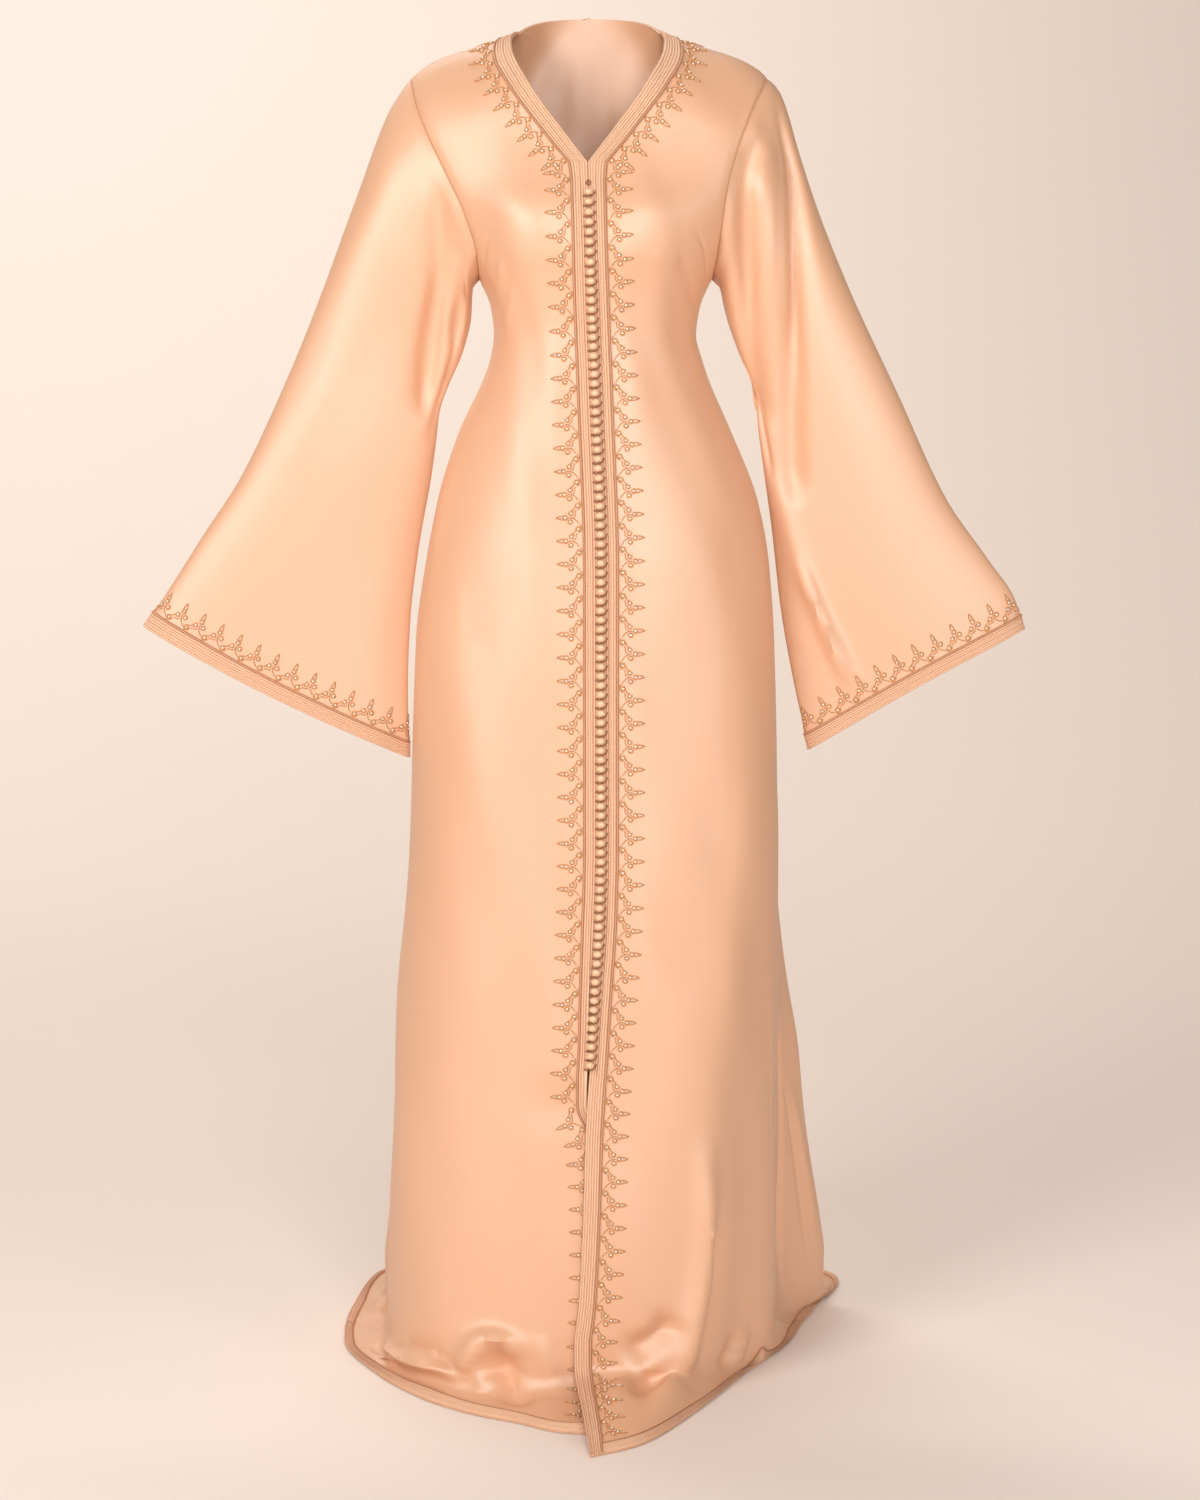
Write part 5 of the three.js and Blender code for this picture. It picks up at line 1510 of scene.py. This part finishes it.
KNOT_PARTS = [
    (ball((0, KNOT_RAISED, 0), swell=knot_swell, **KNOT), KNOT_KIND),
    (tube(smooth_line(LOOP, LOOP_ROUNDING), LOOP_RADIUS, CORD_SIDES), LOOP_AND_SHADE_KIND),
    (ball(LOOP_END, **LOOP_KNOT), LOOP_AND_SHADE_KIND),
]
pitch = (LAST_KNOT - FIRST_KNOT) / (KNOT_COUNT - 1)
for group in range(math.ceil(KNOT_COUNT / KNOTS_PER_GROUP)):
    heap = Heap()
    first = group * KNOTS_PER_GROUP
    for knot in range(first, min(first + KNOTS_PER_GROUP, KNOT_COUNT)):
        placed = knot_frame(FIRST_KNOT + pitch * knot)
        flipped = np.cross(placed[1], placed[2]) @ placed[3] < 0
        for solid, kind in KNOT_PARTS:
            heap.put(in_frame(solid, placed), kind, flipped)
    if group == 0:
        top_loop = tube(TOP_LOOP, TOP_LOOP_RADIUS, CORD_SIDES, True)
        heap.put(in_frame(top_loop, knot_frame(FIRST_KNOT + TOP_LOOP_RAISED)), LOOP_AND_SHADE_KIND)
    number = f"{group + 1:02d}"
    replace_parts(heap.made("knot_row_" + number, [KNOT_CORD, LOOP_CORD_AND_SHADE], "cord"), "knots_" + number)

# Topstitching beside the armhole seams
STITCH_PITCH = 3.6
STITCH_IN = 2.0
STITCH_RADIUS = 0.48
STITCH_SIDES = 4
STITCH = [(-1.2, 0, 0.1), (0, 0, 0.4), (1.2, 0, 0.1)]
STITCH_START = 4.0
arm = PANEL_ROWS <= ARM_END
stitch, stitch_faces = tube(STITCH, STITCH_RADIUS, STITCH_SIDES)
for side in SIGN:
    heap = Heap()
    edges = ("front_" + side, -1, -3), ("back", *((0, 2) if side == "left" else (-1, -3)))
    for name, edge, beside in edges:
        piece = PIECES[name]
        outer, inner = piece["points"][arm, edge], piece["points"][arm, beside]
        tree = tree_of(piece)
        line = outer + unit(inner - outer) * STITCH_IN
        span = (STITCH_START, lengths_along(line)[-1] - LINE_START, STITCH_PITCH)
        for point, ahead in zip(*places_along(line, False, [span])):
            normal = np.array(tree.find_nearest(Vector(point))[1])
            laid = on_cloth(tree, stitch, point, ahead, np.cross(normal, ahead))
            heap.put((laid, stitch_faces), THREAD_KIND)
    heap.made("stitches_" + side, [THREAD], "cord")


# Studio: a seamless pale sweep, soft lights and the camera
LIGHTS = table("name place target size power tint", [
    ("key", (-2.1, -2.6, 0.6), (0, 0, -0.33), (1.2, 1.6), 70, (1, 0.98, 0.96)),
    ("front", (0.5, -3.3, 0.4), (0, 0, -0.25), (1.2, 1.3), 58, (1, 0.99, 0.98)),
    ("side", (2.3, -2.3, -0.1), (0.1, 0, -0.45), (0.8, 1.6), 17, (1, 0.99, 0.98)),
    ("wall", (-2.0, 3.2, 4.4), (-1.2, 5.6, -0.6), (6.5, 1.5), 265, (1, 0.96, 0.92)),
])
for light in LIGHTS:
    data = bpy.data.lights.new(light["name"], "AREA")
    data.shape = "RECTANGLE"
    data.size, data.size_y = light["size"]
    data.energy = light["power"]
    data.color = light["tint"]
    lamp = add_object(light["name"], data)
    lamp.location = light["place"]
    lamp.rotation_euler = (Vector(light["target"]) - lamp.location).to_track_quat("-Z", "Y").to_euler()

ROOM_LIGHT = {"Color": (1, 0.88, 0.77, 1), "Strength": 0.24}
world = bpy.data.worlds.new("studio")
bpy.context.scene.world = world
world.use_nodes = True
put(world.node_tree, world.node_tree.nodes["Background"], ROOM_LIGHT)
bpy.context.scene.view_settings.view_transform = "Standard"

SWEEP_HALF = 8.0
SWEEP_FRONT = -7.0
SWEEP_BACK = 6.5
SWEEP_ROUND = 3.5
SWEEP_TOP = 6.0
SWEEP_STEPS = 24
SWEEP_COLOR = (0.84, 0.745, 0.68)
SWEEP_SHEEN = {"Roughness": 0.8, "Metallic": 0.0}
FLOOR_GAP = 0.0006
ground = FLOOR * MM - FLOOR_GAP
profile = [(SWEEP_FRONT, ground)]
for step in range(SWEEP_STEPS + 1):
    turn = math.pi / 2 * step / SWEEP_STEPS
    back_at = SWEEP_BACK - SWEEP_ROUND + SWEEP_ROUND * math.sin(turn)
    profile.append((back_at, ground + SWEEP_ROUND * (1 - math.cos(turn))))
profile.append((SWEEP_BACK, SWEEP_TOP))
verts = [(x, y, z) for y, z in profile for x in (-SWEEP_HALF, SWEEP_HALF)]
faces = [(2 * i, 2 * i + 1, 2 * i + 3, 2 * i + 2) for i in range(len(profile) - 1)]
sweep = bpy.data.meshes.new("sweep")
sweep.from_pydata(verts, [], faces)
sweep.shade_smooth()
backdrop = add_object("sweep", sweep)
sweep.materials.append(new_material("pale", SWEEP_COLOR, SWEEP_SHEEN)[0])

camera_data = bpy.data.cameras.new("view")
camera_data.lens = CAMERA_LENS
camera_data.sensor_width = CAMERA_SENSOR
camera_data.clip_end = CAMERA_REACH
camera = add_object("view", camera_data)
camera.location = (CAMERA_X * MM, CAMERA_Y * MM, CAMERA_Z * MM)
camera.rotation_euler = (math.radians(90 - CAMERA_DOWN), 0, 0)
bpy.context.scene.camera = camera
